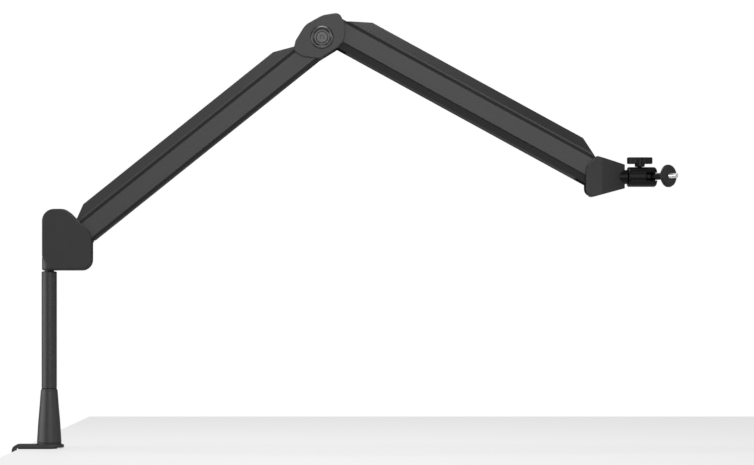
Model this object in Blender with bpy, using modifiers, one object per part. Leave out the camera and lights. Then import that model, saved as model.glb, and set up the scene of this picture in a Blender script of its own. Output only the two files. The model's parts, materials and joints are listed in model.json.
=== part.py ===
"""Desk-clamp boom arm for a microphone, built at real size.

Metres, +Z up, +X towards the microphone end, +Y to the back. The origin is on
the riser's axis, where the clamp's pad rests on the desk. The arm stands at its
rest pose. Each moving group hangs from an empty on its joint's axis.
"""

import math

import bmesh
import bpy
from mathutils import Matrix, Vector

MM = 0.001
GAP = 0.3 * MM

# Desk clamp
DESK_THICKNESS = 27 * MM
PAD_THICKNESS = 1.0 * MM
PLATE_THICKNESS = 3.8 * MM
PLATE_TOP = 5.1 * MM
PLATE_HALF_WIDTH = 18 * MM
PLATE_FRONT = 18.4 * MM
CLAMP_BACK = -45.1 * MM
CLAMP_BEND = 7 * MM
LOWER_JAW_TOP = -65.2 * MM
CLAMP_SCREW_X = -12 * MM
CLAMP_SCREW_RADIUS = 5 * MM
CLAMP_SCREW_LENGTH = 67 * MM
NUT_RADIUS = 9.5 * MM
NUT_LENGTH = 14 * MM
FOOT_RADIUS = 15 * MM
FOOT_THICKNESS = 4 * MM
FOOT_PAD_THICKNESS = 1.7 * MM
TOMMY_RADIUS = 3 * MM
TOMMY_LENGTH = 64 * MM
SCREW_HEAD_RADIUS = 8 * MM
SCREW_HEAD_LENGTH = 13 * MM

# Riser and its socket
SOCKET_FOOT_RADIUS = 15.6 * MM
SOCKET_TOP_RADIUS = 10.4 * MM
SOCKET_TOP = 74.0 * MM
SOCKET_FLOOR = 20 * MM
SOCKET_BORE = 8.9 * MM
TUBE_RADIUS = 9.45 * MM
TUBE_BORE = 7.5 * MM
TUBE_BOTTOM = 74.3 * MM
TUBE_TOP = 219.2 * MM
SPIGOT_RADIUS = 7.0 * MM
SWIVEL_RADIUS = 6.0 * MM
COLLAR_RADIUS = 10.4 * MM
COLLAR_BOTTOM = 220.7 * MM
COLLAR_TOP = 237 * MM

# Arms, seen along Y: the two pivots of each arm and its section
LOWER_ANGLE = math.radians(38.7)
UPPER_ANGLE = math.radians(-28.7)
SHOULDER_PIVOT = Vector((22.5, 0, 253.2)) * MM
LOWER_LENGTH = 385.0 * MM
ELBOW_STEP = Vector((29.0, 0, 29.4)) * MM
UPPER_LENGTH = 372.2 * MM
ARM_HALF_WIDTH = 17 * MM
ARM_WALL = 2.2 * MM
BEAM_LOW = -14 * MM
BEAM_HIGH = 11 * MM
WEB_LOW = 6.5 * MM
WEB_HIGH = 8.3 * MM
BEAM_END = 12.5 * MM
BELLY_START = 30 * MM
BELLY_TOP = -12.1 * MM
LOWER_BELLY_LOW = -17.7 * MM
UPPER_BELLY_LOW = -22.5 * MM
SKIRT_INNER = 12.6 * MM
ELBOW_CORE_HALF_WIDTH = 12.3 * MM
CORE_ROOM = 19 * MM
CORE_HALF_WIDTH = 14.2 * MM
COVER_LIP = 2.0 * MM
COVER_HEIGHT = 14.3 * MM
COVER_ROOF_HALF_WIDTH = 10.5 * MM
COVER_WALL = 1.8 * MM
CABLE_NOTCH = 6.5 * MM
PIVOT_RADIUS = 2.5 * MM
LINK_PIN_RADIUS = 1.5 * MM
LINK_HALF_HEIGHT = 2.0 * MM
LINK_HALF_WIDTH = 1.8 * MM
LINK_EYE = 4.2 * MM
LINK_SLOT = 3.4 * MM
LOWER_LINK_STEP = Vector((6.0, 0, -7.4)) * MM
UPPER_LINK_STEP = Vector((-2.5, 0, -9.2)) * MM
BUMPER_PLACE = 25.9 * MM
SPRING_RADIUS = 4.0 * MM
SPRING_WIRE = 0.75 * MM
SPRING_HEIGHT = 0.75 * MM
SPRING_TURNS = 24
ANCHOR_LOW = -4.3 * MM
ANCHOR_LENGTH = 9 * MM

# Cheeks of shoulder, elbow and head
CHEEK_INNER = 17.6 * MM
CHEEK_OUTER = 20.5 * MM
RIM = 2.2 * MM
CAP_CENTRE = Vector((337.0, 0, 507.1)) * MM
CAP_RADIUS = 14.0 * MM
CAP_RECESS = 1.6 * MM

# Microphone mount
MOUNT_HEIGHT = 336.2 * MM
SPINDLE_RADIUS = 8.75 * MM
SPINDLE_START = 690 * MM
BARREL_START = 716.3 * MM
BARREL_END = 751.9 * MM
BARREL_RADIUS = 12.25 * MM
POCKET_START = 725.8 * MM
BALL_SEAT_LENGTH = 11.2 * MM
BALL_CENTRE = Vector((741.9 * MM, 0, MOUNT_HEIGHT))
BALL_RADIUS = 8.5 * MM
NOTCH_START = 737.5 * MM
NOTCH_HALF_WIDTH = 5.0 * MM
MOUTH_RADIUS = 7.2 * MM
STEM_RADIUS = 4.2 * MM
STEM_ANGLE = math.radians(-48)
PLATFORM_RADIUS = 13.8 * MM
PLATFORM_START = 27.0 * MM
PLATFORM_END = 32.5 * MM
PLATFORM_PAD_END = 34.0 * MM
STUD_RADIUS = 3.175 * MM
STUD_END = 44.0 * MM
THUMB_X = 731.4 * MM
THUMB_NECK_RADIUS = 6.1 * MM
THUMB_BAR_LOW = 352.4 * MM
THUMB_BAR_HIGH = 360.5 * MM
THUMB_BAR_HALF_LENGTH = 15.6 * MM

ROUND_STEPS = 32
SMALL_STEPS = 16
CORNER_STEPS = 5


for old in list(bpy.data.objects):
    bpy.data.objects.remove(old, do_unlink=True)

parts = bpy.data.collections.new("microphone_boom_arm")
cutters = bpy.data.collections.new("cutters")
bpy.context.scene.collection.children.link(parts)
bpy.context.scene.collection.children.link(cutters)


def make_material(name, colour, roughness, metallic):
    material = bpy.data.materials.new(name)
    material.use_nodes = True
    shader = material.node_tree.nodes["Principled BSDF"]
    shader.inputs["Base Color"].default_value = (*colour, 1)
    shader.inputs["Roughness"].default_value = roughness
    shader.inputs["Metallic"].default_value = metallic
    return material


def grey(value):
    return (value, value, value * 1.02)


ANODISED = make_material("anodised_black", grey(0.055), 0.45, 0.6)
PAINTED = make_material("painted_steel", grey(0.035), 0.5, 0.3)
MOULDED = make_material("moulded_black", grey(0.042), 0.55, 0.0)
GLOSSY = make_material("glossy_black", grey(0.015), 0.2, 0.2)
RUBBER = make_material("rubber", grey(0.02), 0.85, 0.0)
STEEL = make_material("bright_steel", grey(0.62), 0.25, 1.0)
NYLON = make_material("nylon", grey(0.05), 0.6, 0.0)


# Outlines

def arc_corner(before, corner, after, radius, steps=CORNER_STEPS):
    """The points of a rounded corner, tangent to both of its sides."""
    corner = Vector(corner)
    to_before = (Vector(before) - corner).normalized()
    to_after = (Vector(after) - corner).normalized()
    half = to_before.angle(to_after) / 2
    reach = radius / math.tan(half)
    centre = corner + (to_before + to_after).normalized() * (radius / math.sin(half))
    start = corner + to_before * reach - centre
    end = corner + to_after * reach - centre
    sweep = math.atan2(start.x * end.y - start.y * end.x, start.dot(end))
    first = math.atan2(start.y, start.x)
    turns = [first + sweep * k / steps for k in range(steps + 1)]
    return [(centre.x + radius * math.cos(t), centre.y + radius * math.sin(t)) for t in turns]


def rounded(corners):
    """Closed outline from corners (a, b, radius) in millimetres."""
    places = [(a * MM, b * MM) for a, b, _ in corners]
    points = []
    for k, (_, _, radius) in enumerate(corners):
        if radius == 0:
            points.append(places[k])
            continue
        after = places[(k + 1) % len(places)]
        points.extend(arc_corner(places[k - 1], places[k], after, radius * MM))
    return points


def strip(path, thickness):
    """Closed outline of a wall on the left side of an open path."""
    inner = []
    for k, point in enumerate(path):
        before = Vector(path[max(k - 1, 0)])
        after = Vector(path[min(k + 1, len(path) - 1)])
        along = (after - before).normalized()
        inner.append((point[0] - along.y * thickness, point[1] + along.x * thickness))
    return list(path) + inner[::-1]


def circle(centre, radius, steps=SMALL_STEPS):
    turns = [2 * math.pi * k / steps for k in range(steps)]
    return [(centre[0] + radius * math.cos(t), centre[1] + radius * math.sin(t)) for t in turns]


# Solids

def add_object(name, mesh, material, collection=None):
    obj = bpy.data.objects.new(name, mesh)
    (collection or parts).objects.link(obj)
    mesh.name = name
    if material:
        mesh.materials.clear()
        mesh.materials.append(material)
    mesh.shade_smooth()
    mesh.set_sharp_from_angle(angle=math.radians(35))
    return obj


def solid_from(helper):
    """The evaluated shape of a helper object as a plain welded mesh; the helper goes."""
    bpy.context.view_layer.update()
    graph = bpy.context.evaluated_depsgraph_get()
    mesh = bpy.data.meshes.new_from_object(helper.evaluated_get(graph))
    mesh.transform(helper.matrix_world)
    data = helper.data
    bpy.data.objects.remove(helper, do_unlink=True)
    if isinstance(data, bpy.types.Curve):
        bpy.data.curves.remove(data)
    else:
        bpy.data.meshes.remove(data)
    welder = bmesh.new()
    welder.from_mesh(mesh)
    bmesh.ops.remove_doubles(welder, verts=welder.verts, dist=0.002 * MM)
    bmesh.ops.recalc_face_normals(welder, faces=welder.faces)
    welder.to_mesh(mesh)
    welder.free()
    return mesh


ACROSS = {
    "X": Matrix(((0, 0, 1, 0), (1, 0, 0, 0), (0, 1, 0, 0), (0, 0, 0, 1))),
    "Y": Matrix(((1, 0, 0, 0), (0, 0, -1, 0), (0, 1, 0, 0), (0, 0, 0, 1))),
    "Z": Matrix.Identity(4),
}


def prism_mesh(loops, low, high, axis):
    """Flat outlines pushed from low to high along an axis.

    An outline is in (y, z) for X, in (x, z) for Y and in (x, y) for Z. A second
    outline inside the first one is a hole.
    """
    curve = bpy.data.curves.new("outline", "CURVE")
    curve.dimensions = "2D"
    curve.fill_mode = "BOTH"
    curve.extrude = (high - low) / 2
    for loop in loops:
        spline = curve.splines.new("POLY")
        spline.points.add(len(loop) - 1)
        for point, (a, b) in zip(spline.points, loop):
            point.co = (a, b, 0, 1)
        spline.use_cyclic_u = True
    helper = bpy.data.objects.new("outline", curve)
    cutters.objects.link(helper)
    shift = {"X": Vector((1, 0, 0)), "Y": Vector((0, 1, 0)), "Z": Vector((0, 0, 1))}[axis]
    helper.matrix_world = Matrix.Translation(shift * (low + high) / 2) @ ACROSS[axis]
    return solid_from(helper)


def prism(name, loops, low, high, axis, material=None, collection=None):
    return add_object(name, prism_mesh(loops, low, high, axis), material, collection)


def pointing(direction, base):
    """Matrix that puts local +Z along direction, from base."""
    turn = Vector(direction).to_track_quat("Z", "Y").to_matrix().to_4x4()
    return Matrix.Translation(base) @ turn


def turned(name, profile, material=None, base=(0, 0, 0), direction=(0, 0, 1), steps=ROUND_STEPS,
           closed=False, collection=None):
    """A turned piece. The profile (radius, height) runs down its outer side."""
    mesh = bpy.data.meshes.new("profile")
    count = len(profile)
    edges = [(k, k + 1) for k in range(count - 1)]
    if closed:
        edges.append((count - 1, 0))
    mesh.from_pydata([(r, 0, h) for r, h in profile], edges, [])
    helper = bpy.data.objects.new("profile", mesh)
    cutters.objects.link(helper)
    screw = helper.modifiers.new("turn", "SCREW")
    screw.steps = steps
    screw.render_steps = steps
    screw.use_merge_vertices = True
    screw.merge_threshold = 0.01 * MM
    helper.matrix_world = pointing(direction, base)
    return add_object(name, solid_from(helper), material, collection)


def rod(name, radius, start, end, material=None, steps=ROUND_STEPS, collection=None):
    """A round bar between two points."""
    start = Vector(start)
    along = Vector(end) - start
    shape = bmesh.new()
    bmesh.ops.create_cone(shape, cap_ends=True, segments=steps, radius1=radius, radius2=radius,
                          depth=along.length)
    mesh = bpy.data.meshes.new(name)
    shape.to_mesh(mesh)
    shape.free()
    mesh.transform(pointing(along, start + along / 2))
    return add_object(name, mesh, material, collection)


def block(name, low, high, material=None, collection=None):
    """A box between two opposite corners."""
    low = Vector(low)
    high = Vector(high)
    shape = bmesh.new()
    bmesh.ops.create_cube(shape, size=1)
    bmesh.ops.scale(shape, vec=high - low, verts=shape.verts)
    bmesh.ops.translate(shape, vec=(low + high) / 2, verts=shape.verts)
    mesh = bpy.data.meshes.new(name)
    shape.to_mesh(mesh)
    shape.free()
    return add_object(name, mesh, material, collection)


def sleeve(name, outer, inner, low, high, material):
    profile = [(inner, high), (outer, high), (outer, low), (inner, low)]
    return turned(name, profile, material, closed=True)


def combine(obj, other, operation):
    modifier = obj.modifiers.new(operation.lower(), "BOOLEAN")
    modifier.operation = operation
    modifier.object = other
    modifier.solver = "EXACT"
    other.hide_render = True
    other.display_type = "WIRE"
    return obj


def cut(obj, *others):
    for other in others:
        combine(obj, other, "DIFFERENCE")


def join(obj, *others):
    for other in others:
        combine(obj, other, "UNION")


def keep_common(obj, *others):
    for other in others:
        combine(obj, other, "INTERSECT")


def hidden_prism(name, loops, low, high, axis):
    return prism(name, loops, low, high, axis, collection=cutters)


def hidden_rod(name, radius, start, end, steps=SMALL_STEPS):
    return rod(name, radius, start, end, steps=steps, collection=cutters)


def hidden_box(name, low, high):
    """A cutting box between two opposite corners in millimetres."""
    return block(name, Vector(low) * MM, Vector(high) * MM, collection=cutters)


# Joints as a chain of empties

def joint(name, place, parent=None, angle=0.0):
    """An empty on a joint's axis. Angle is the tilt in the XZ plane, up from +X."""
    empty = bpy.data.objects.new(name, None)
    empty.empty_display_size = 15 * MM
    parts.objects.link(empty)
    world = Matrix.Translation(place) @ Matrix.Rotation(-angle, 4, "Y")
    if parent:
        empty.parent = parent
        empty.matrix_local = frames[parent.name].inverted() @ world
    else:
        empty.matrix_local = world
    frames[name] = world
    return empty


frames = {}


def seat(obj, empty):
    """Hangs a piece made in world coordinates on a joint, its origin on the axis."""
    obj.data.transform(frames[empty.name].inverted())
    obj.parent = empty
    return obj


def mount_on(empty, *objects):
    """Hangs pieces that were made in the joint's own coordinates."""
    for obj in objects:
        obj.parent = empty


lower_direction = Vector((math.cos(LOWER_ANGLE), 0, math.sin(LOWER_ANGLE)))
upper_direction = Vector((math.cos(UPPER_ANGLE), 0, math.sin(UPPER_ANGLE)))
elbow_lower = SHOULDER_PIVOT + LOWER_LENGTH * lower_direction
elbow_upper = elbow_lower + ELBOW_STEP
head_pivot = elbow_upper + UPPER_LENGTH * upper_direction
stem_direction = Vector((math.cos(STEM_ANGLE), math.sin(STEM_ANGLE), 0))

base = joint("desk_clamp_frame", (0, 0, 0))
foot_joint = joint("clamp_foot_slide", (CLAMP_SCREW_X, 0, -DESK_THICKNESS), base)
screw_joint = joint("clamp_screw_turn", (CLAMP_SCREW_X, 0, -DESK_THICKNESS), foot_joint)
riser_joint = joint("riser_swivel", (0, 0, SOCKET_TOP), base)
shoulder_joint = joint("shoulder_swivel", (0, 0, TUBE_TOP), riser_joint)
lower_joint = joint("lower_arm_hinge", SHOULDER_PIVOT, shoulder_joint, LOWER_ANGLE)
lower_cover_joint = joint("lower_cover_lift", SHOULDER_PIVOT, lower_joint, LOWER_ANGLE)
lower_link_joint = joint("lower_link_hinge", SHOULDER_PIVOT + LOWER_LINK_STEP, shoulder_joint, LOWER_ANGLE)
elbow_joint = joint("elbow_level", elbow_lower, lower_joint)
upper_joint = joint("upper_arm_hinge", elbow_upper, elbow_joint, UPPER_ANGLE)
upper_cover_joint = joint("upper_cover_lift", elbow_upper, upper_joint, UPPER_ANGLE)
upper_link_joint = joint("upper_link_hinge", elbow_upper + UPPER_LINK_STEP, elbow_joint, UPPER_ANGLE)
head_joint = joint("head_level", head_pivot, upper_joint)
roll_joint = joint("mount_roll", (BARREL_START, 0, MOUNT_HEIGHT), head_joint)
thumb_joint = joint("thumb_screw_turn", (THUMB_X, 0, MOUNT_HEIGHT), roll_joint)
ball_joint = joint("ball_swing", BALL_CENTRE, roll_joint)
platform_joint = joint("platform_spin", BALL_CENTRE, ball_joint)


# Desk clamp

def end_cutter(name, centre_x, low, high):
    """What rounds the end of a flat plate of the clamp, seen from above."""
    radius = PLATE_HALF_WIDTH
    far = centre_x + radius + 3 * MM
    side = radius + 2 * MM
    turns = [math.pi * (k / 16 - 0.5) for k in range(17)]
    arc = [(centre_x + radius * math.cos(t), radius * math.sin(t)) for t in turns]
    outline = [(centre_x, side), (far, side), (far, -side), (centre_x, -side)] + arc
    return hidden_prism(name, [outline], low, high, "Z")


def build_clamp():
    back = CLAMP_BACK / MM
    wall = PLATE_THICKNESS / MM
    top = PLATE_TOP / MM
    bend = CLAMP_BEND / MM
    jaw = LOWER_JAW_TOP / MM
    jaw_end = CLAMP_SCREW_X / MM + PLATE_HALF_WIDTH / MM
    front = PLATE_FRONT / MM
    outline = rounded([
        (front, top, 0), (back, top, bend), (back, jaw - wall, bend), (jaw_end, jaw - wall, 0),
        (jaw_end, jaw, 0), (back + wall, jaw, bend - wall), (back + wall, top - wall, bend - wall),
        (front, top - wall, 0),
    ])
    half = PLATE_HALF_WIDTH
    bracket = prism("clamp_bracket", [outline], -half, half, "Y", PAINTED)
    room = 2 * MM
    jaw_low = LOWER_JAW_TOP - PLATE_THICKNESS - room
    plate_low = PLATE_TOP - PLATE_THICKNESS - room
    cut(
        bracket,
        end_cutter("plate_end", PLATE_FRONT - half, plate_low, PLATE_TOP + room),
        end_cutter("jaw_end", CLAMP_SCREW_X, jaw_low, LOWER_JAW_TOP + room),
        hidden_rod("bolt_hole", 4.3 * MM, (0, 0, -3 * MM), (0, 0, 8 * MM)),
        hidden_rod("nut_seat", NUT_RADIUS - 2 * MM + GAP, (CLAMP_SCREW_X, 0, jaw_low),
                   (CLAMP_SCREW_X, 0, LOWER_JAW_TOP + room), ROUND_STEPS),
    )
    seat(bracket, base)

    pad_outline = rounded([(-38, -15.5, 3), (10, -15.5, 12), (10, 15.5, 12), (-38, 15.5, 3)])
    pad = prism("desk_pad", [pad_outline], 0, PAD_THICKNESS, "Z", RUBBER)
    seat(pad, base)

    bolt_low = PAD_THICKNESS + GAP
    bolt = turned("socket_bolt", [
        (0, SOCKET_FLOOR - MM), (4 * MM, SOCKET_FLOOR - MM), (4 * MM, bolt_low), (0, bolt_low),
    ], STEEL, steps=SMALL_STEPS)
    seat(bolt, base)

    neck = NUT_RADIUS - 2 * MM
    nut_top = LOWER_JAW_TOP
    shoulder = LOWER_JAW_TOP - PLATE_THICKNESS - GAP
    bore = CLAMP_SCREW_RADIUS + GAP
    nut = turned("clamp_nut", [
        (bore, nut_top), (neck, nut_top), (neck, shoulder), (NUT_RADIUS, shoulder),
        (NUT_RADIUS, nut_top - NUT_LENGTH), (bore, nut_top - NUT_LENGTH),
    ], STEEL, (CLAMP_SCREW_X, 0, 0), closed=True)
    seat(nut, base)


def build_clamp_screw():
    axis = CLAMP_SCREW_X
    pad_top = -DESK_THICKNESS
    plate_top = pad_top - FOOT_PAD_THICKNESS - GAP
    plate_low = plate_top - FOOT_THICKNESS
    pad = turned("foot_pad", [
        (0, pad_top), (FOOT_RADIUS - 1.5 * MM, pad_top), (FOOT_RADIUS - MM, pad_top - 0.5 * MM),
        (FOOT_RADIUS - MM, plate_top + GAP), (0, plate_top + GAP),
    ], RUBBER, (axis, 0, 0))
    seat(pad, foot_joint)
    hub = plate_low - 4.5 * MM
    tip = 2.8 * MM
    plate = turned("foot_plate", [
        (0, plate_top), (FOOT_RADIUS, plate_top), (FOOT_RADIUS, plate_low + 1.5 * MM),
        (FOOT_RADIUS - 2 * MM, plate_low), (8 * MM, plate_low), (7 * MM, hub), (tip + GAP, hub),
        (tip + GAP, plate_top - 2 * MM), (0, plate_top - 2 * MM),
    ], PAINTED, (axis, 0, 0))
    seat(plate, foot_joint)

    head_top = plate_low - CLAMP_SCREW_LENGTH
    head_low = head_top - SCREW_HEAD_LENGTH
    screw_top = hub - GAP
    screw = turned("clamp_screw", [
        (0, plate_top - 2.4 * MM), (tip, plate_top - 2.4 * MM), (tip, screw_top),
        (CLAMP_SCREW_RADIUS, screw_top), (CLAMP_SCREW_RADIUS, head_top), (SCREW_HEAD_RADIUS, head_top),
        (SCREW_HEAD_RADIUS, head_low + MM), (SCREW_HEAD_RADIUS - MM, head_low), (0, head_low),
    ], STEEL, (axis, 0, 0))
    bar_height = (head_top + head_low) / 2
    half = TOMMY_LENGTH / 2
    cut(screw, hidden_rod("tommy_hole", TOMMY_RADIUS + GAP, (axis, -20 * MM, bar_height),
                          (axis, 20 * MM, bar_height)))
    seat(screw, screw_joint)
    end = 4.4 * MM
    knob = 6 * MM
    bar = turned("tommy_bar", [
        (0, half), (end - MM, half), (end, half - MM), (end, half - knob + MM),
        (TOMMY_RADIUS, half - knob), (TOMMY_RADIUS, knob - half), (end, knob - MM - half),
        (end, MM - half), (end - MM, -half), (0, -half),
    ], STEEL, (axis, 0, bar_height), (0, 1, 0), SMALL_STEPS)
    seat(bar, screw_joint)


# Riser

def build_riser():
    foot = PLATE_TOP + GAP
    socket = turned("riser_socket", [
        (SOCKET_BORE, SOCKET_TOP), (9.7 * MM, SOCKET_TOP), (10.2 * MM, SOCKET_TOP - 0.7 * MM),
        (SOCKET_TOP_RADIUS, SOCKET_TOP - 3 * MM), (12.1 * MM, 50.5 * MM), (13.6 * MM, 33.6 * MM),
        (14.8 * MM, 16.9 * MM), (15.3 * MM, foot + 2 * MM), (SOCKET_FOOT_RADIUS, foot + 1.4 * MM),
        (SOCKET_FOOT_RADIUS, foot), (4.3 * MM, foot), (4.3 * MM, SOCKET_FLOOR),
        (SOCKET_BORE, SOCKET_FLOOR),
    ], PAINTED, closed=True)
    seat(socket, base)
    liner_top = SOCKET_TOP - MM
    liner = sleeve("socket_liner", SOCKET_BORE - GAP, SPIGOT_RADIUS + GAP, SOCKET_FLOOR + GAP,
                   liner_top, NYLON)
    seat(liner, base)

    edge = 1.2 * MM
    tube = turned("riser_tube", [
        (TUBE_BORE, TUBE_TOP), (TUBE_RADIUS - edge, TUBE_TOP),
        (TUBE_RADIUS - 0.35 * edge, TUBE_TOP - 0.35 * edge), (TUBE_RADIUS, TUBE_TOP - edge),
        (TUBE_RADIUS, TUBE_BOTTOM + edge / 2),
        (TUBE_RADIUS - edge / 2, TUBE_BOTTOM), (TUBE_BORE, TUBE_BOTTOM),
    ], ANODISED, closed=True)
    seat(tube, riser_joint)
    pressed = TUBE_BORE - GAP
    spigot = turned("riser_spigot", [
        (0, TUBE_BOTTOM + 30 * MM), (pressed, TUBE_BOTTOM + 30 * MM), (pressed, TUBE_BOTTOM + 1 * MM),
        (SPIGOT_RADIUS, TUBE_BOTTOM + 1 * MM), (SPIGOT_RADIUS, SOCKET_FLOOR + 2 * MM),
        (SPIGOT_RADIUS - MM, SOCKET_FLOOR + MM), (0, SOCKET_FLOOR + MM),
    ], STEEL)
    seat(spigot, riser_joint)
    bush = sleeve("riser_bush", pressed, SWIVEL_RADIUS + GAP, 160 * MM, TUBE_TOP - MM, NYLON)
    seat(bush, riser_joint)


# Shoulder

SHOULDER_OUTLINE = [
    (-7.7, 296.0, 15), (-7.7, 236.5, 4), (-5.6, 220.7, 3.5), (53.4, 220.7, 13.5), (53.4, 265, 14),
    (22.6, 296.0, 17),
]
SHOULDER_RIM_END = (40, 220.7)
SHOULDER_CORE = [(-4.5, 238.4, 2), (35, 238.4, 4), (31.5, 262, 9), (-4.5, 262, 3)]
SHOULDER_SCREW = (1.5, 256)


def cheek(name, outline, side, material, bosses=(), rim=()):
    """A cover plate on one side (-1 front, 1 back), with its rim and its bosses up to the core."""
    low, high = sorted((side * CHEEK_INNER, side * CHEEK_OUTER))
    plate = prism(name, [rounded(outline)], low, high, "Y", material)
    overlap = 0.5 * MM
    if rim:
        ends = sorted((side * GAP / 2, side * (CHEEK_INNER + overlap)))
        join(plate, hidden_prism(f"{name}_rim", [strip(rim, RIM)], ends[0], ends[1], "Y"))
    for k, (x, z, radius) in enumerate(bosses):
        start = (x * MM, side * (ELBOW_CORE_HALF_WIDTH + GAP), z * MM)
        end = (x * MM, side * (CHEEK_INNER + overlap), z * MM)
        join(plate, hidden_rod(f"{name}_boss_{k}", radius * MM, start, end))
    return plate


def cross_hole(name, place, radius, half_length=30 * MM):
    x, z = place
    return hidden_rod(name, radius, (x, -half_length, z), (x, half_length, z))


def cross_pin(name, centre, radius, half_length, joint_empty, material=STEEL):
    start = centre - Vector((0, half_length, 0))
    end = centre + Vector((0, half_length, 0))
    return seat(rod(name, radius, start, end, material, SMALL_STEPS), joint_empty)


def cover_screw(name, place, depth, joint_empty):
    """A countersunk screw that holds a back cover to its core."""
    x, z = place[0] * MM, place[1] * MM
    outer = CHEEK_OUTER - 0.2 * MM
    screw = turned(name, [
        (0, outer), (3.4 * MM, outer), (1.6 * MM, outer - 1.8 * MM), (1.6 * MM, outer - depth),
        (0, outer - depth),
    ], STEEL, (x, 0, z), (0, 1, 0), SMALL_STEPS)
    return seat(screw, joint_empty)


def screw_sink(name, place):
    x, z = place[0] * MM, place[1] * MM
    outer = CHEEK_OUTER + 0.5 * MM
    return turned(name, [
        (0, outer), (4.4 * MM, outer), (1.9 * MM, outer - 2.5 * MM), (1.9 * MM, 5 * MM), (0, 5 * MM),
    ], None, (x, 0, z), (0, 1, 0), SMALL_STEPS, False, cutters)


def build_shoulder():
    spigot = turned("shoulder_spigot", [
        (0, 252 * MM), (5 * MM, 252 * MM), (5 * MM, COLLAR_TOP), (COLLAR_RADIUS - MM, COLLAR_TOP),
        (COLLAR_RADIUS, COLLAR_TOP - MM), (COLLAR_RADIUS, COLLAR_BOTTOM + MM),
        (COLLAR_RADIUS - MM, COLLAR_BOTTOM), (SWIVEL_RADIUS, COLLAR_BOTTOM),
        (SWIVEL_RADIUS, 161 * MM), (SWIVEL_RADIUS - MM, 160 * MM), (0, 160 * MM),
    ], PAINTED)
    seat(spigot, shoulder_joint)

    half = CORE_HALF_WIDTH
    core = prism("shoulder_core", [rounded(SHOULDER_CORE)], -half, half, "Y", PAINTED)
    x, z = SHOULDER_SCREW
    boss = CHEEK_INNER - GAP
    join(core, hidden_rod("shoulder_core_boss", 4.5 * MM, (x * MM, -boss, z * MM), (x * MM, boss, z * MM)))
    pivot = (SHOULDER_PIVOT.x, SHOULDER_PIVOT.z)
    link = SHOULDER_PIVOT + LOWER_LINK_STEP
    cut(
        core,
        hidden_box("shoulder_slot", (21, -LINK_SLOT / MM, 236), (40, LINK_SLOT / MM, 270)),
        cross_hole("shoulder_pivot_hole", pivot, PIVOT_RADIUS + GAP),
        cross_hole("shoulder_link_hole", (link.x, link.z), LINK_PIN_RADIUS + GAP),
        hidden_rod("spigot_bore", 5 * MM + GAP, (0, 0, 236 * MM), (0, 0, 254 * MM)),
        screw_sink("shoulder_core_thread", SHOULDER_SCREW),
    )
    seat(core, shoulder_joint)

    corner_points = CORNER_STEPS + 1
    rim = rounded(SHOULDER_OUTLINE)[2:3 * corner_points]
    rim.append((SHOULDER_RIM_END[0] * MM, SHOULDER_RIM_END[1] * MM))
    for side, name in ((-1, "shoulder_front_cover"), (1, "shoulder_back_cover")):
        cover = cheek(name, SHOULDER_OUTLINE, side, PAINTED, rim=rim)
        room = COLLAR_RADIUS + 0.6 * MM
        low, high = (0, 0, COLLAR_BOTTOM - 10 * MM), (0, 0, COLLAR_TOP + 1.1 * MM)
        cut(cover, hidden_rod(f"{name}_collar_room", room, low, high, ROUND_STEPS))
        if side > 0:
            cut(cover, screw_sink("shoulder_cover_sink", SHOULDER_SCREW))
        seat(cover, shoulder_joint)

    ear = ARM_HALF_WIDTH - GAP
    cross_pin("shoulder_pivot_pin", SHOULDER_PIVOT, PIVOT_RADIUS, ear, shoulder_joint)
    cross_pin("shoulder_link_pin", link, LINK_PIN_RADIUS, 12 * MM, shoulder_joint)
    cover_screw("shoulder_screw", SHOULDER_SCREW, 12 * MM, shoulder_joint)


# Arms

def arm_outline(start, end, low, high, start_slope, end_slope, beyond):
    """Side view of a piece along the arm whose two ends slope up and inwards.

    It is drawn past its bottom and its top, with its ends on the same slopes.
    """
    rise = high + beyond - low
    return [
        (start - beyond * start_slope, low - beyond), (end + beyond * end_slope, low - beyond),
        (end - rise * end_slope, high + beyond), (start + rise * start_slope, high + beyond),
    ]


def build_beam(name, length, arm_joint, far_corners):
    """An arm's body: two walls and a web, with the cable trough above the web.

    Its far end's corners are given from the far pivot.
    """
    half = ARM_HALF_WIDTH
    inner = half - ARM_WALL
    section = [
        (-half, BEAM_LOW), (-inner, BEAM_LOW), (-inner, WEB_LOW), (inner, WEB_LOW), (inner, BEAM_LOW),
        (half, BEAM_LOW), (half, BEAM_HIGH), (inner, BEAM_HIGH), (inner, WEB_HIGH),
        (-inner, WEB_HIGH), (-inner, BEAM_HIGH), (-half, BEAM_HIGH),
    ]
    beam = prism(name, [section], -BEAM_END, length + BEAM_END, "X", ANODISED)
    low, high, end = BEAM_LOW / MM, BEAM_HIGH / MM, BEAM_END / MM
    corners = [(-end, low, 12.2)]
    corners += [(length / MM + a, w, radius) for a, w, radius in far_corners]
    corners.append((-end, high, 10.8))
    keep = hidden_prism(f"{name}_ends", [rounded(corners)], -25 * MM, 25 * MM, "Y")
    room = CORE_ROOM / MM
    wide = inner / MM
    far = length / MM
    near_room = hidden_box(f"{name}_near_room", (-30, -wide, -30), (room, wide, 30))
    far_room = hidden_box(f"{name}_far_room", (far - room, -wide, -30), (far + 30, wide, 30))
    near_hole = cross_hole(f"{name}_near_hole", (0, 0), PIVOT_RADIUS + GAP)
    far_hole = cross_hole(f"{name}_far_hole", (length, 0), PIVOT_RADIUS + GAP)
    keep_common(beam, keep)
    cut(beam, near_room, far_room, near_hole, far_hole)
    mount_on(arm_joint, beam, keep, near_room, far_room, near_hole, far_hole)


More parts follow.
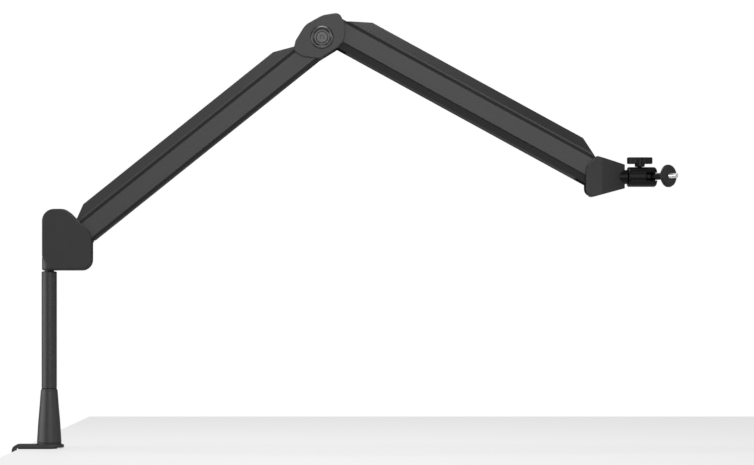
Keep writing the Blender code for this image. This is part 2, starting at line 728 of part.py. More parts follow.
def build_bottom_cover(name, length, belly, near_end, far_end, arm_joint):
    """The cover under the springs, which bulges below the walls to the belly height.

    Each end is given as its places along the arm at the top and at the belly. Where
    the level pieces need room, only the cover's two skirts go on.
    """
    half = ARM_HALF_WIDTH - ARM_WALL - GAP
    outline = [
        (near_end[0], BELLY_TOP), (near_end[1], belly), (far_end[1], belly), (far_end[0], BELLY_TOP),
    ]
    cover = prism(name, [outline], -half, half, "Y", MOULDED)
    side = SKIRT_INNER
    beyond = 30 * MM
    rooms = [
        block(f"{name}_near_room", (-beyond, -side, -beyond), (CORE_ROOM + GAP, side, 0), None, cutters),
        block(f"{name}_near_step", (-beyond, -side, -beyond), (BELLY_START, side, BEAM_LOW + GAP),
              None, cutters),
        block(f"{name}_far_room", (length - CORE_ROOM - GAP, -side, -beyond), (length + beyond, side, 0),
              None, cutters),
    ]
    cut(cover, *rooms)
    mount_on(arm_joint, cover, *rooms)


def build_channel_cover(name, start, end, start_slope, end_slope, cover_joint):
    low = BEAM_HIGH + GAP
    high = low + COVER_HEIGHT
    half = ARM_HALF_WIDTH
    roof = COVER_ROOF_HALF_WIDTH
    wall = COVER_WALL
    lip = low + COVER_LIP
    outer = [(-half, low), (half, low), (half, lip), (roof, high), (-roof, high), (-half, lip)]
    cover = prism(name, [outer], start - 5 * MM, end + 5 * MM, "X", ANODISED)
    below = 3 * MM
    view = arm_outline(start, end, low, high, start_slope, end_slope, below)
    inner = [
        (-half + wall, low - below), (half - wall, low - below), (half - wall, lip - 0.4 * MM),
        (roof - 0.8 * wall, high - wall), (-roof + 0.8 * wall, high - wall), (-half + wall, lip - 0.4 * MM),
    ]
    hollow = hidden_prism(f"{name}_hollow", [inner], start - 5 * MM, end + 5 * MM, "X")
    inset = 2.2 * wall
    inner_view = arm_outline(start + inset, end - inset, low, high, start_slope, end_slope, 2 * below)
    keep = hidden_prism(f"{name}_ends", [view], -25 * MM, 25 * MM, "Y")
    keep_hollow = hidden_prism(f"{name}_hollow_ends", [inner_view], -26 * MM, 26 * MM, "Y")
    keep_common(hollow, keep_hollow)
    notch = hidden_prism(f"{name}_cable_notch", [rounded([
        (-CABLE_NOTCH / MM, low / MM - 3, 0), (CABLE_NOTCH / MM, low / MM - 3, 0),
        (CABLE_NOTCH / MM, low / MM + 6.5, 3), (-CABLE_NOTCH / MM, low / MM + 6.5, 3),
    ])], start - 8 * MM, end + 8 * MM, "X")
    keep_common(cover, keep)
    cut(cover, hollow, notch)
    mount_on(cover_joint, cover, keep, hollow, keep_hollow, notch)


def build_link(name, length, link_joint):
    eye, half = LINK_EYE, LINK_HALF_HEIGHT
    opening = math.asin(half / eye)
    turns = 10
    near = [opening + (2 * math.pi - 2 * opening) * k / turns for k in range(turns + 1)]
    far = [math.pi + t for t in near]
    outline = [(eye * math.cos(t), eye * math.sin(t)) for t in near]
    outline += [(length + eye * math.cos(t), eye * math.sin(t)) for t in far]
    hole = LINK_PIN_RADIUS + GAP
    loops = [outline, circle((0, 0), hole, 12), circle((length, 0), hole, 12)]
    link = prism(name, loops, -LINK_HALF_WIDTH, LINK_HALF_WIDTH, "Y", STEEL)
    mount_on(link_joint, link)


def coil_points(start, end, hook):
    """Centre line of a tension spring along +X, with a straight tail at each end."""
    per_turn = 8
    count = SPRING_TURNS * per_turn
    points = [(start - hook, 0, SPRING_HEIGHT)]
    for k in range(count + 1):
        turn = 2 * math.pi * k / per_turn
        along = start + (end - start) * k / count
        ease = min(1.0, k / per_turn, (count - k) / per_turn)
        radius = SPRING_RADIUS * ease
        points.append((along, radius * math.sin(turn), SPRING_HEIGHT + radius * math.cos(turn)))
    points.append((end + hook, 0, SPRING_HEIGHT))
    return points


def build_spring(name, start, end, arm_joint):
    curve = bpy.data.curves.new(name, "CURVE")
    curve.dimensions = "3D"
    curve.bevel_depth = SPRING_WIRE
    curve.bevel_resolution = 0
    curve.use_fill_caps = True
    places = coil_points(start, end, 3 * MM)
    spline = curve.splines.new("POLY")
    spline.points.add(len(places) - 1)
    for point, place in zip(spline.points, places):
        point.co = (*place, 1)
    helper = bpy.data.objects.new("wire", curve)
    cutters.objects.link(helper)
    spring = add_object(name, solid_from(helper), STEEL)
    mount_on(arm_joint, spring)


def build_spring_anchor(name, start, arm_joint):
    """The block between the beam's walls that holds the spring's far end."""
    half = ARM_HALF_WIDTH - ARM_WALL - GAP
    low = (start, -half, ANCHOR_LOW)
    high = (start + ANCHOR_LENGTH, half, WEB_LOW - GAP)
    mount_on(arm_joint, block(name, low, high, STEEL))


def build_lower_arm():
    build_beam("lower_arm_beam", LOWER_LENGTH, lower_joint, [(12.5, -14, 12.2), (12.5, 11, 10.8)])
    near_end = (CORE_ROOM + GAP, BELLY_START)
    far_end = (LOWER_LENGTH - 3.5 * MM, LOWER_LENGTH + 4.5 * MM)
    build_bottom_cover("lower_bottom_cover", LOWER_LENGTH, LOWER_BELLY_LOW, near_end, far_end, lower_joint)
    start, end = 20 * MM, LOWER_LENGTH - 8 * MM
    build_channel_cover("lower_channel_cover", start, end, 1.85, 2.15, lower_cover_joint)
    build_link("lower_link", LOWER_LENGTH, lower_link_joint)
    build_spring("lower_spring", 26 * MM, 170 * MM, lower_joint)
    build_spring_anchor("lower_spring_anchor", 173.5 * MM, lower_joint)
    bumper = turned("lower_arm_bumper", [
        (0, 0), (2.4 * MM, 0), (2.4 * MM, -3.0 * MM), (1.4 * MM, -4.6 * MM), (0, -4.8 * MM),
    ], RUBBER, (BUMPER_PLACE, 0, BEAM_LOW), (0, 0, 1), SMALL_STEPS)
    mount_on(lower_joint, bumper)


def build_upper_arm():
    head_end = [(-8, -14, 6), (2.6, -7.1, 4), (6.6, -3, 4), (6.6, 7, 6.4), (-4.5, 9.3, 3), (-12, 11, 2)]
    build_beam("upper_arm_beam", UPPER_LENGTH, upper_joint, head_end)
    near_end = (17.5 * MM, 14.5 * MM)
    far_end = (UPPER_LENGTH - 11 * MM, UPPER_LENGTH - 6 * MM)
    build_bottom_cover("upper_bottom_cover", UPPER_LENGTH, UPPER_BELLY_LOW, near_end, far_end, upper_joint)
    start, end = 13 * MM, UPPER_LENGTH - 11.2 * MM
    build_channel_cover("upper_channel_cover", start, end, 1.95, 1.7, upper_cover_joint)
    build_link("upper_link", UPPER_LENGTH, upper_link_joint)
    build_spring("upper_spring", 60 * MM, 190 * MM, upper_joint)
    build_spring_anchor("upper_spring_anchor", 46 * MM, upper_joint)


# Elbow

ELBOW_OUTLINE = [
    (303.2, 489.5, 6), (313, 483.6, 12), (334, 480.8, 7), (357, 495, 10), (364.2, 503, 12),
    (366.2, 521, 9), (358.5, 537.8, 8), (338, 534.5, 26), (316.5, 522.5, 22), (303.8, 502, 14),
]
ELBOW_CORE = [
    (314.8, 485.5, 8), (338.5, 483.5, 6), (347.5, 499, 2), (361, 507.6, 5), (361, 530, 6), (344, 532.6, 8),
    (321.5, 521.5, 4), (320.5, 505, 3), (314.8, 502, 6),
]


def build_elbow():
    half = ELBOW_CORE_HALF_WIDTH
    slot = LINK_SLOT / MM
    core = prism("elbow_core", [rounded(ELBOW_CORE)], -half, half, "Y", PAINTED)
    lower_link = elbow_lower + LOWER_LINK_STEP
    upper_link = elbow_upper + UPPER_LINK_STEP
    cut(
        core,
        hidden_box("elbow_lower_slot", (308, -slot, 474), (335, slot, 491.8)),
        hidden_box("elbow_upper_slot", (343, -slot, 495), (370, slot, 528)),
        cross_hole("elbow_lower_hole", (elbow_lower.x, elbow_lower.z), PIVOT_RADIUS + GAP),
        cross_hole("elbow_lower_link_hole", (lower_link.x, lower_link.z), LINK_PIN_RADIUS + GAP),
        cross_hole("elbow_upper_hole", (elbow_upper.x, elbow_upper.z), PIVOT_RADIUS + GAP),
        cross_hole("elbow_upper_link_hole", (upper_link.x, upper_link.z), LINK_PIN_RADIUS + GAP),
        cross_hole("elbow_bolt_hole", (CAP_CENTRE.x, CAP_CENTRE.z), 3 * MM + GAP),
    )
    seat(core, elbow_joint)

    x, z = CAP_CENTRE.x, CAP_CENTRE.z
    for side, face in ((-1, "front"), (1, "back")):
        name = f"elbow_{face}_cheek"
        plate = cheek(name, ELBOW_OUTLINE, side, PAINTED, [(x / MM, z / MM, 4.5)])
        floor = side * (CHEEK_OUTER - CAP_RECESS)
        outside = side * (CHEEK_OUTER + 2 * MM)
        recess_radius = CAP_RADIUS + 0.5 * MM
        cut(
            plate,
            hidden_rod(f"{name}_recess", recess_radius, (x, floor, z), (x, outside, z), ROUND_STEPS),
            cross_hole(f"{name}_bolt_hole", (x, z), 3 * MM + GAP),
        )
        seat(plate, elbow_joint)
        thick = CAP_RECESS + 1.0 * MM - GAP
        cap = turned(f"elbow_{face}_cap", [
            (0, thick), (9.8 * MM, thick), (CAP_RADIUS - 0.6 * MM, thick - MM),
            (CAP_RADIUS, thick - 1.4 * MM), (CAP_RADIUS, 0), (0, 0),
        ], GLOSSY, (x, floor + side * GAP, z), (0, side, 0))
        seat(cap, elbow_joint)
    reach = CHEEK_OUTER - CAP_RECESS - GAP
    cross_pin("elbow_bolt", CAP_CENTRE, 3 * MM, reach, elbow_joint)

    ear = ARM_HALF_WIDTH - GAP
    cross_pin("elbow_lower_pin", elbow_lower, PIVOT_RADIUS, ear, elbow_joint)
    cross_pin("elbow_upper_pin", elbow_upper, PIVOT_RADIUS, ear, elbow_joint)
    cross_pin("elbow_lower_link_pin", lower_link, LINK_PIN_RADIUS, 12 * MM, elbow_joint)
    cross_pin("elbow_upper_link_pin", upper_link, LINK_PIN_RADIUS, 12 * MM, elbow_joint)
    stop_out = Vector((0.865, 0, -0.502))
    stop = Vector((345.7, -9.5, 495.6)) * MM
    thread = hidden_rod("stop_thread", 1.9 * MM, stop - 9 * MM * stop_out, stop + 8 * MM * stop_out)
    cut(bpy.data.objects["elbow_core"], thread)
    screw = turned("elbow_stop_screw", [
        (0, 5.2 * MM), (1.6 * MM, 5.2 * MM), (2.6 * MM, 4.4 * MM), (2.6 * MM, 1.5 * MM),
        (1.6 * MM, 1.5 * MM), (1.6 * MM, -8 * MM), (0, -8 * MM),
    ], RUBBER, stop, stop_out, SMALL_STEPS)
    seat(screw, elbow_joint)


# Head

HEAD_OUTLINE = [
    (662, 348, 14), (662.3, 308.5, 9), (712.4, 322.0, 1.2), (712.4, 351.5, 1.2), (675, 361.3, 4),
]
HEAD_PLAN = [
    (655, 20.5, 0), (655, -20.5, 0), (684, -20.5, 16), (713, -4.3, 0), (713, 4.3, 0), (684, 20.5, 16),
]
HEAD_ROOM = [
    (650, 370, 0), (650, 300, 0), (664, 311.2, 0), (709.5, 323.4, 0), (709.5, 347.5, 0), (692, 352, 0),
    (688, 370, 0),
]
HEAD_ROOM_PLAN = [
    (645, 17.6, 0), (645, -17.6, 0), (685.5, -17.6, 6), (706.5, -6, 0), (706.5, 6, 0), (685.5, 17.6, 6),
]
HEAD_CORE = [(669.5, 352.5, 8), (670.5, 327, 4), (677, 317, 4), (689.3, 320.2, 1), (689.3, 351, 1)]


def build_head():
    for side, name in ((-1, "head_front_cover"), (1, "head_back_cover")):
        low, high = sorted((side * GAP / 2, side * 25 * MM))
        shell = prism(name, [rounded(HEAD_OUTLINE)], low, high, "Y", PAINTED)
        plan = hidden_prism(f"{name}_plan", [rounded(HEAD_PLAN)], 290 * MM, 380 * MM, "Z")
        room = hidden_prism(f"{name}_room", [rounded(HEAD_ROOM)], -30 * MM, 30 * MM, "Y")
        room_plan = hidden_prism(f"{name}_room_plan", [rounded(HEAD_ROOM_PLAN)], 285 * MM, 385 * MM, "Z")
        keep_common(room, room_plan)
        keep_common(shell, plan)
        bore = SPINDLE_RADIUS + GAP
        spindle_room = hidden_rod(f"{name}_spindle_room", bore, (685 * MM, 0, MOUNT_HEIGHT),
                                  (715 * MM, 0, MOUNT_HEIGHT), ROUND_STEPS)
        cut(shell, room, spindle_room)
        seat(shell, head_joint)

    half = 12 * MM
    slot = LINK_SLOT / MM
    core = prism("head_core", [rounded(HEAD_CORE)], -half, half, "Y", PAINTED)
    link = head_pivot + UPPER_LINK_STEP
    cut(
        core,
        hidden_box("head_slot", (660, -slot, 310), (681.5, slot, 358)),
        cross_hole("head_pivot_hole", (head_pivot.x, head_pivot.z), PIVOT_RADIUS + GAP),
        cross_hole("head_link_hole", (link.x, link.z), LINK_PIN_RADIUS + GAP),
    )
    seat(core, head_joint)
    cross_pin("head_pivot_pin", head_pivot, PIVOT_RADIUS, ARM_HALF_WIDTH - GAP, head_joint)
    cross_pin("head_link_pin", link, LINK_PIN_RADIUS, 10.5 * MM, head_joint)

    end = BARREL_START - GAP - SPINDLE_START
    spindle = turned("head_spindle", [
        (3.4 * MM, end), (SPINDLE_RADIUS - 0.8 * MM, end), (SPINDLE_RADIUS, end - 0.8 * MM),
        (SPINDLE_RADIUS, 0), (3.4 * MM, 0),
    ], GLOSSY, (SPINDLE_START, 0, MOUNT_HEIGHT), (1, 0, 0), closed=True)
    seat(spindle, head_joint)


# Microphone mount

def build_mount():
    length = BARREL_END - BARREL_START
    radius = BARREL_RADIUS
    barrel = turned("mount_barrel", [
        (0, length), (radius - 3 * MM, length), (radius - 0.9 * MM, length - 0.9 * MM),
        (radius, length - 3 * MM), (radius, 1.2 * MM), (radius - 1.2 * MM, 0), (0, 0),
    ], GLOSSY, (BARREL_START, 0, MOUNT_HEIGHT), (1, 0, 0))
    ball = BALL_CENTRE
    socket = BALL_RADIUS + GAP
    arc = [math.pi / 2 * k / 6 for k in range(7)]
    pocket_depth = ball.x - POCKET_START
    profile = [(socket * math.sin(t), socket * math.cos(t)) for t in arc]
    profile += [(socket, -pocket_depth), (0, -pocket_depth)]
    pocket = turned("ball_pocket", profile, None, ball, (1, 0, 0), collection=cutters)
    mouth = hidden_rod("ball_mouth", MOUTH_RADIUS, ball, ball + Vector((20 * MM, 0, 0)), ROUND_STEPS)
    width = NOTCH_HALF_WIDTH / MM
    height = MOUNT_HEIGHT / MM
    notch = hidden_box("swing_notch", (NOTCH_START / MM, -20, height - width), (765, 0, height + width))
    bolt_room = hidden_rod("barrel_bolt_room", 3.4 * MM, (BARREL_START - 5 * MM, 0, MOUNT_HEIGHT),
                           (POCKET_START + 1.5 * MM, 0, MOUNT_HEIGHT))
    thumb_room = hidden_rod("thumb_room", 2.9 * MM + GAP, (THUMB_X, 0, MOUNT_HEIGHT + 6 * MM),
                            (THUMB_X, 0, MOUNT_HEIGHT + 20 * MM))
    cut(barrel, pocket, mouth, notch, bolt_room, thumb_room)
    seat(barrel, roll_joint)

    seat_start = POCKET_START + GAP
    seat_end = seat_start + BALL_SEAT_LENGTH
    cup = rod("ball_seat", BALL_RADIUS, (seat_start, 0, MOUNT_HEIGHT), (seat_end, 0, MOUNT_HEIGHT), NYLON)
    hollow = turned("seat_hollow", [
        (socket * math.sin(math.pi * k / 12), socket * math.cos(math.pi * k / 12)) for k in range(13)
    ], None, ball, (1, 0, 0), collection=cutters)
    cut(cup, hollow)
    seat(cup, roll_joint)

    bolt = rod("barrel_bolt", 3.0 * MM, (SPINDLE_START + 2 * MM, 0, MOUNT_HEIGHT),
               (POCKET_START - GAP, 0, MOUNT_HEIGHT), STEEL, SMALL_STEPS)
    seat(bolt, roll_joint)

    low = MOUNT_HEIGHT + 9.1 * MM
    neck = MOUNT_HEIGHT + BARREL_RADIUS + 0.5 * MM
    thumb = turned("thumb_screw", [
        (0, THUMB_BAR_HIGH - MM), (THUMB_NECK_RADIUS, THUMB_BAR_HIGH - MM),
        (THUMB_NECK_RADIUS, neck + 0.6 * MM), (THUMB_NECK_RADIUS - 0.6 * MM, neck), (2.9 * MM, neck),
        (2.9 * MM, low), (0, low),
    ], GLOSSY, (THUMB_X, 0, 0))
    bar_half = THUMB_BAR_HALF_LENGTH / MM
    centre = THUMB_X / MM
    low_z, high_z = THUMB_BAR_LOW / MM, THUMB_BAR_HIGH / MM
    bar_outline = rounded([
        (centre - bar_half, low_z, 1.5), (centre + bar_half, low_z, 1.5),
        (centre + bar_half, high_z, 1.5), (centre - bar_half, high_z, 1.5),
    ])
    join(thumb, hidden_prism("thumb_bar", [bar_outline], -4.3 * MM, 4.3 * MM, "Y"))
    seat(thumb, thumb_joint)

    meet = math.asin(STEM_RADIUS / BALL_RADIUS)
    sweep = [meet + (math.pi - meet) * k / 10 for k in range(11)]
    stem_top = PLATFORM_START - GAP
    profile = [(0, stem_top), (STEM_RADIUS, stem_top)]
    profile += [(BALL_RADIUS * math.sin(t), BALL_RADIUS * math.cos(t)) for t in sweep]
    stud = turned("ball_stud", profile, GLOSSY, ball, stem_direction)
    seat(stud, ball_joint)

    hole = STUD_RADIUS + GAP
    disc = turned("platform_disc", [
        (hole, PLATFORM_END), (PLATFORM_RADIUS - 0.8 * MM, PLATFORM_END),
        (PLATFORM_RADIUS, PLATFORM_END - 0.8 * MM), (PLATFORM_RADIUS, PLATFORM_START + 2.5 * MM),
        (PLATFORM_RADIUS - 2.5 * MM, PLATFORM_START), (hole, PLATFORM_START),
    ], GLOSSY, ball, stem_direction, closed=True)
    seat(disc, platform_joint)
    pad_low = PLATFORM_END + GAP
    pad = turned("platform_pad", [
        (hole, PLATFORM_PAD_END), (PLATFORM_RADIUS - 1.3 * MM, PLATFORM_PAD_END),
        (PLATFORM_RADIUS - 0.8 * MM, PLATFORM_PAD_END - 0.5 * MM), (PLATFORM_RADIUS - 0.8 * MM, pad_low),
        (hole, pad_low),
    ], RUBBER, ball, stem_direction, closed=True)
    seat(pad, platform_joint)
    stud_low = PLATFORM_START + 0.5 * MM
    thread = turned("thread_stud", [
        (0, STUD_END), (STUD_RADIUS - 0.8 * MM, STUD_END), (STUD_RADIUS, STUD_END - 0.8 * MM),
        (STUD_RADIUS, stud_low), (0, stud_low),
    ], STEEL, ball, stem_direction, SMALL_STEPS)
    seat(thread, platform_joint)


build_clamp()
build_clamp_screw()
build_riser()
build_shoulder()
build_lower_arm()
build_upper_arm()
build_elbow()
build_head()
build_mount()
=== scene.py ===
"""The look of a desk-clamp boom arm: black anodised arms on a painted steel base.

Lengths are in millimetres and turned into metres by MM. Arm pieces are made in
their arm's own frame: X along it from its lower pivot, Z square to it and up.
"""

import json
import math

import bmesh
import bpy
from mathutils import Matrix, Vector

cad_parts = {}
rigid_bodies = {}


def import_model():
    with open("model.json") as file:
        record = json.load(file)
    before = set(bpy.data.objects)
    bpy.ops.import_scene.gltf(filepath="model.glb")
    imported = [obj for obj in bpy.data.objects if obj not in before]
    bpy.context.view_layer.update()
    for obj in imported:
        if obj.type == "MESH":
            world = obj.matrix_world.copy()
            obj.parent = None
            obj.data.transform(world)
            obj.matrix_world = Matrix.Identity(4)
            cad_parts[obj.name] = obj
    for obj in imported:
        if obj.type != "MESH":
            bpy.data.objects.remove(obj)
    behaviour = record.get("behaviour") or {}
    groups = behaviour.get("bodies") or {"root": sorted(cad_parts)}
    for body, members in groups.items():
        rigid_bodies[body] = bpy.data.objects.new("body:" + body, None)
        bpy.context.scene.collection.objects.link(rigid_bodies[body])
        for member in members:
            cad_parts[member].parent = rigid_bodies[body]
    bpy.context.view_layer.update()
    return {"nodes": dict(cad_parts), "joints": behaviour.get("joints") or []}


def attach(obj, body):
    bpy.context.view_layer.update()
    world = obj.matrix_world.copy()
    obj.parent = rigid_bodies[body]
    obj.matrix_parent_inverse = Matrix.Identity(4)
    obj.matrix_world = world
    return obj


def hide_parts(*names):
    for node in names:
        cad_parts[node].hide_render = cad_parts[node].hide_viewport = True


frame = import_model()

MM = 0.001
GAP = 0.3

# The photograph's frame and what its camera sees
PHOTO_WIDTH = 754
FOCAL_PIXELS = 2421.9
SENSOR = 36
CAMERA_PLACE = (220.6, -3000, 155.4)
SHIFT_X = 0.1985
SHIFT_Y = 0.12

# Desk that the clamp grips
DESK_THICKNESS = 27
DESK_EDGE_AT_ARM = -36.8
DESK_EDGE_SLANT = 0.0269
DESK_BACK = 1025
DESK_FRONT = -420
DESK_RIGHT = 1150
DESK_LIFT = 0.63
DESK_SEEN_LEVEL = 0.19

# Places worked out from the frame
joint_place = {j["name"]: Vector(j["pos_m"]) / MM for j in frame["joints"] if "pos_m" in j}
SHOULDER = joint_place["lower_arm_hinge"]
ELBOW_LOW = joint_place["elbow_level"]
ELBOW_HIGH = joint_place["upper_arm_hinge"]
HEAD = joint_place["head_level"]
BALL = joint_place["ball_swing"]
LOWER_LENGTH = (ELBOW_LOW - SHOULDER).length
UPPER_LENGTH = (HEAD - ELBOW_HIGH).length
LOWER_ANGLE = math.atan2(ELBOW_LOW.z - SHOULDER.z, ELBOW_LOW.x - SHOULDER.x)
UPPER_ANGLE = math.atan2(HEAD.z - ELBOW_HIGH.z, HEAD.x - ELBOW_HIGH.x)
MOUNT_HEIGHT = BALL.z

for thing in list(bpy.data.objects):
    if thing.type in ("CAMERA", "LIGHT"):
        bpy.data.objects.remove(thing, do_unlink=True)


# Camera

def make_camera():
    data = bpy.data.cameras.new("photo_camera")
    data.sensor_width = SENSOR
    data.lens = FOCAL_PIXELS / PHOTO_WIDTH * SENSOR
    data.shift_x = SHIFT_X
    data.shift_y = SHIFT_Y
    data.dof.use_dof = False
    camera = bpy.data.objects.new("photo_camera", data)
    bpy.context.scene.collection.objects.link(camera)
    camera.location = Vector(CAMERA_PLACE) * MM
    camera.rotation_euler = (math.radians(90), 0, 0)
    bpy.context.scene.camera = camera


make_camera()


# Shader maths

class Value:
    """A socket that takes part in Python sums; each sum adds its Math node."""

    def __init__(self, finish, socket):
        self.finish = finish
        self.socket = socket

    def __add__(self, other):
        return self.finish.maths("ADD", self, other)

    def __sub__(self, other):
        return self.finish.maths("SUBTRACT", self, other)

    def __rsub__(self, other):
        return self.finish.maths("SUBTRACT", other, self)

    def __mul__(self, other):
        return self.finish.maths("MULTIPLY", self, other)

    __radd__ = __add__
    __rmul__ = __mul__

    def spread(self, low, high):
        """Stretches the part between low and high over 0 to 1."""
        return self.finish.maths("MULTIPLY", self - low, 1 / (high - low), clamp=True)


class Finish:
    """A material whose nodes are added by name."""

    def __init__(self, name, **constants):
        self.material = bpy.data.materials.new(name)
        self.material.use_nodes = True
        self.tree = self.material.node_tree
        self.shader = self.tree.nodes["Principled BSDF"]
        for name, number in constants.items():
            socket = name.replace("_", " ").title().replace("Ior", "IOR")
            self.shader.inputs[socket].default_value = number

    def feed(self, socket, source):
        if isinstance(source, Value):
            self.tree.links.new(source.socket, socket)
        else:
            socket.default_value = source

    def node(self, kind, settings, inputs, output=0):
        made = self.tree.nodes.new("ShaderNode" + kind)
        stops = settings.pop("stops", None)
        for name, setting in settings.items():
            setattr(made, name, setting)
        if stops:
            ramp = made.color_ramp.elements
            while len(ramp) < len(stops):
                ramp.new(0.5)
            for element, (place, level) in zip(ramp, stops):
                element.position = place
                element.color = (level, level, level, 1)
        for name, source in inputs.items():
            self.feed(made.inputs[name], source)
        return Value(self, made.outputs[output])

    def maths(self, operation, a, b, clamp=False):
        return self.node("Math", {"operation": operation, "use_clamp": clamp}, {0: a, 1: b})

    def place(self, scale=(1, 1, 1), turn=(0, 0, 0)):
        where = self.node("TexCoord", {}, {}, "Object")
        return self.node("Mapping", {}, {"Vector": where, "Scale": scale, "Rotation": turn})

    def noise(self, scale, detail=2.0, where=None, roughness=0.5):
        return self.node("TexNoise", {}, {
            "Vector": where or self.place(), "Scale": scale, "Detail": detail, "Roughness": roughness,
        }, "Fac")

    def blend(self, amount, first, second):
        return self.node("Mix", {"data_type": "RGBA"}, {0: amount, 6: first, 7: second}, 2)

    def bump(self, height, depth_mm, strength=1.0):
        return self.node("Bump", {}, {"Height": height, "Distance": depth_mm * MM, "Strength": strength})

    def wear(self, colour=None, roughness=None, normal=None):
        if colour:
            self.feed(self.shader.inputs["Base Color"], colour)
        if roughness:
            self.feed(self.shader.inputs["Roughness"], roughness)
        if normal:
            self.feed(self.shader.inputs["Normal"], normal)
        return self.material


def grey(level, warmth=0.0):
    return (level * (1 + warmth), level, level * (1 - warmth), 1)


# Finishes

def anodised_aluminium(name, level):
    """Bead-blasted black anodising over an extrusion, with faint lengthwise lines."""
    finish = Finish(name, metallic=0.0, ior=1.45)
    blasted = finish.noise(2400, 2)
    drawn = finish.noise(1.0, 3, finish.place((6, 900, 900)))
    cloud = finish.noise(9, 3)
    colour = finish.blend(cloud.spread(0.3, 0.7), grey(level * 0.93), grey(level * 1.07))
    roughness = 0.43 + 0.06 * drawn + 0.05 * cloud
    height = blasted * 0.7 + drawn * 0.3
    return finish.wear(colour, roughness, finish.bump(height, 0.05, 0.35))


def textured_paint(name, level, roughness=0.5, grain=1500, depth=0.09):
    """Matt paint with a fine leathery texture."""
    finish = Finish(name, metallic=0.0, ior=1.45, specular_ior_level=0.42)
    fine = finish.noise(grain, 3, roughness=0.6)
    cloud = finish.noise(22, 3)
    colour = finish.blend(fine.spread(0.35, 0.7), grey(level * 0.9), grey(level * 1.12))
    rough = roughness - 0.04 + 0.08 * cloud + 0.05 * fine
    return finish.wear(colour, rough, finish.bump(fine, depth, 0.5))


def satin_steel_paint(name, level):
    """Smooth satin paint on steel tube, with a slight orange peel."""
    finish = Finish(name, metallic=0.0, ior=1.5, specular_ior_level=0.4)
    peel = finish.noise(420, 2)
    cloud = finish.noise(16, 3)
    colour = finish.blend(cloud.spread(0.3, 0.7), grey(level * 0.94), grey(level * 1.06))
    return finish.wear(colour, 0.42 + 0.1 * cloud, finish.bump(peel, 0.03, 0.35))


def black_gloss(name, level, roughness=0.33, shine=0.16):
    """Black plating with a deep shine and faint handling haze."""
    finish = Finish(name, metallic=0.0, ior=1.45, specular_ior_level=shine)
    haze = finish.noise(60, 4)
    fine = finish.noise(900, 2)
    colour = finish.blend(haze.spread(0.3, 0.7), grey(level * 0.9), grey(level * 1.1))
    return finish.wear(colour, roughness + 0.12 * haze, finish.bump(fine, 0.015, 0.3))


def machined_steel(name, level, turned_lines=True, roughness=0.22):
    """Bright steel with tool lines."""
    finish = Finish(name, metallic=1.0)
    lines = finish.noise(1.0, 2, finish.place((700, 700, 2600) if turned_lines else (2600, 60, 2600)))
    cloud = finish.noise(45, 3)
    colour = finish.blend(cloud.spread(0.3, 0.7), grey(level * 0.9, 0.01), grey(level * 1.05, 0.01))
    return finish.wear(colour, roughness + 0.14 * lines, finish.bump(lines, 0.02, 0.4))


def zinc_plate(name, level):
    """Dull zinc on pressed and drawn steel, with its crystal mottling."""
    finish = Finish(name, metallic=1.0)
    cells = finish.node("TexVoronoi", {}, {"Vector": finish.place(), "Scale": 380}, "Color")
    crystal = finish.node("RGBToBW", {}, {"Color": cells})
    fine = finish.noise(1800, 2)
    colour = finish.blend(crystal, grey(level * 0.86, -0.01), grey(level * 1.06, 0.02))
    return finish.wear(colour, 0.3 + 0.12 * crystal, finish.bump(fine, 0.015, 0.4))


def soft_rubber(name, level):
    """Black rubber with a dry, dusty grain."""
    finish = Finish(name, metallic=0.0, ior=1.4)
    grain = finish.noise(1300, 4, roughness=0.7)
    dust = finish.noise(30, 4)
    colour = finish.blend(dust.spread(0.45, 0.8), grey(level), grey(level * 1.5))
    return finish.wear(colour, 0.78 + 0.12 * grain, finish.bump(grain, 0.12, 0.5))


def moulded_plastic(name, level, roughness=0.5):
    """Spark-eroded mould texture on black plastic."""
    finish = Finish(name, metallic=0.0, ior=1.46, specular_ior_level=0.35)
    where = {"Vector": finish.place(), "Scale": 1400}
    sparks = finish.node("TexVoronoi", {"feature": "SMOOTH_F1"}, where, "Distance")
    cloud = finish.noise(25, 2)
    colour = finish.blend(cloud.spread(0.3, 0.7), grey(level * 0.94), grey(level * 1.06))
    return finish.wear(colour, roughness + 0.08 * cloud, finish.bump(sparks, 0.06, 0.35))


PANEL = anodised_aluminium("anodised_panel", 0.0165)
COVER = anodised_aluminium("anodised_cover", 0.013)
HOUSING = textured_paint("textured_housing_paint", 0.0105, 0.52)
HUB_PAINT = textured_paint("textured_hub_paint", 0.029, 0.5)
CASTING = textured_paint("casting_paint", 0.015, 0.6, 900, 0.14)
STEEL_PAINT = satin_steel_paint("satin_base_paint", 0.014)
TUBE_PAINT = satin_steel_paint("satin_tube_paint", 0.012)
GLOSS = black_gloss("black_plating", 0.0025)
CAP_GLOSS = black_gloss("cap_ring_plating", 0.018, 0.22, 0.5)
DISC_GLOSS = black_gloss("platform_plating", 0.012, 0.4, 0.25)
BRIGHT = machined_steel("bright_turned_steel", 0.8)
PLATED = zinc_plate("zinc_plate", 0.5)
SPRING_STEEL = machined_steel("spring_steel", 0.45, False, 0.3)
RUBBER = soft_rubber("black_rubber", 0.016)
PLASTIC = moulded_plastic("moulded_black_plastic", 0.006, 0.62)
BLACK_SCREW = zinc_plate("black_oxide_screw", 0.06)


# Outlines

CORNER_STEPS = 10


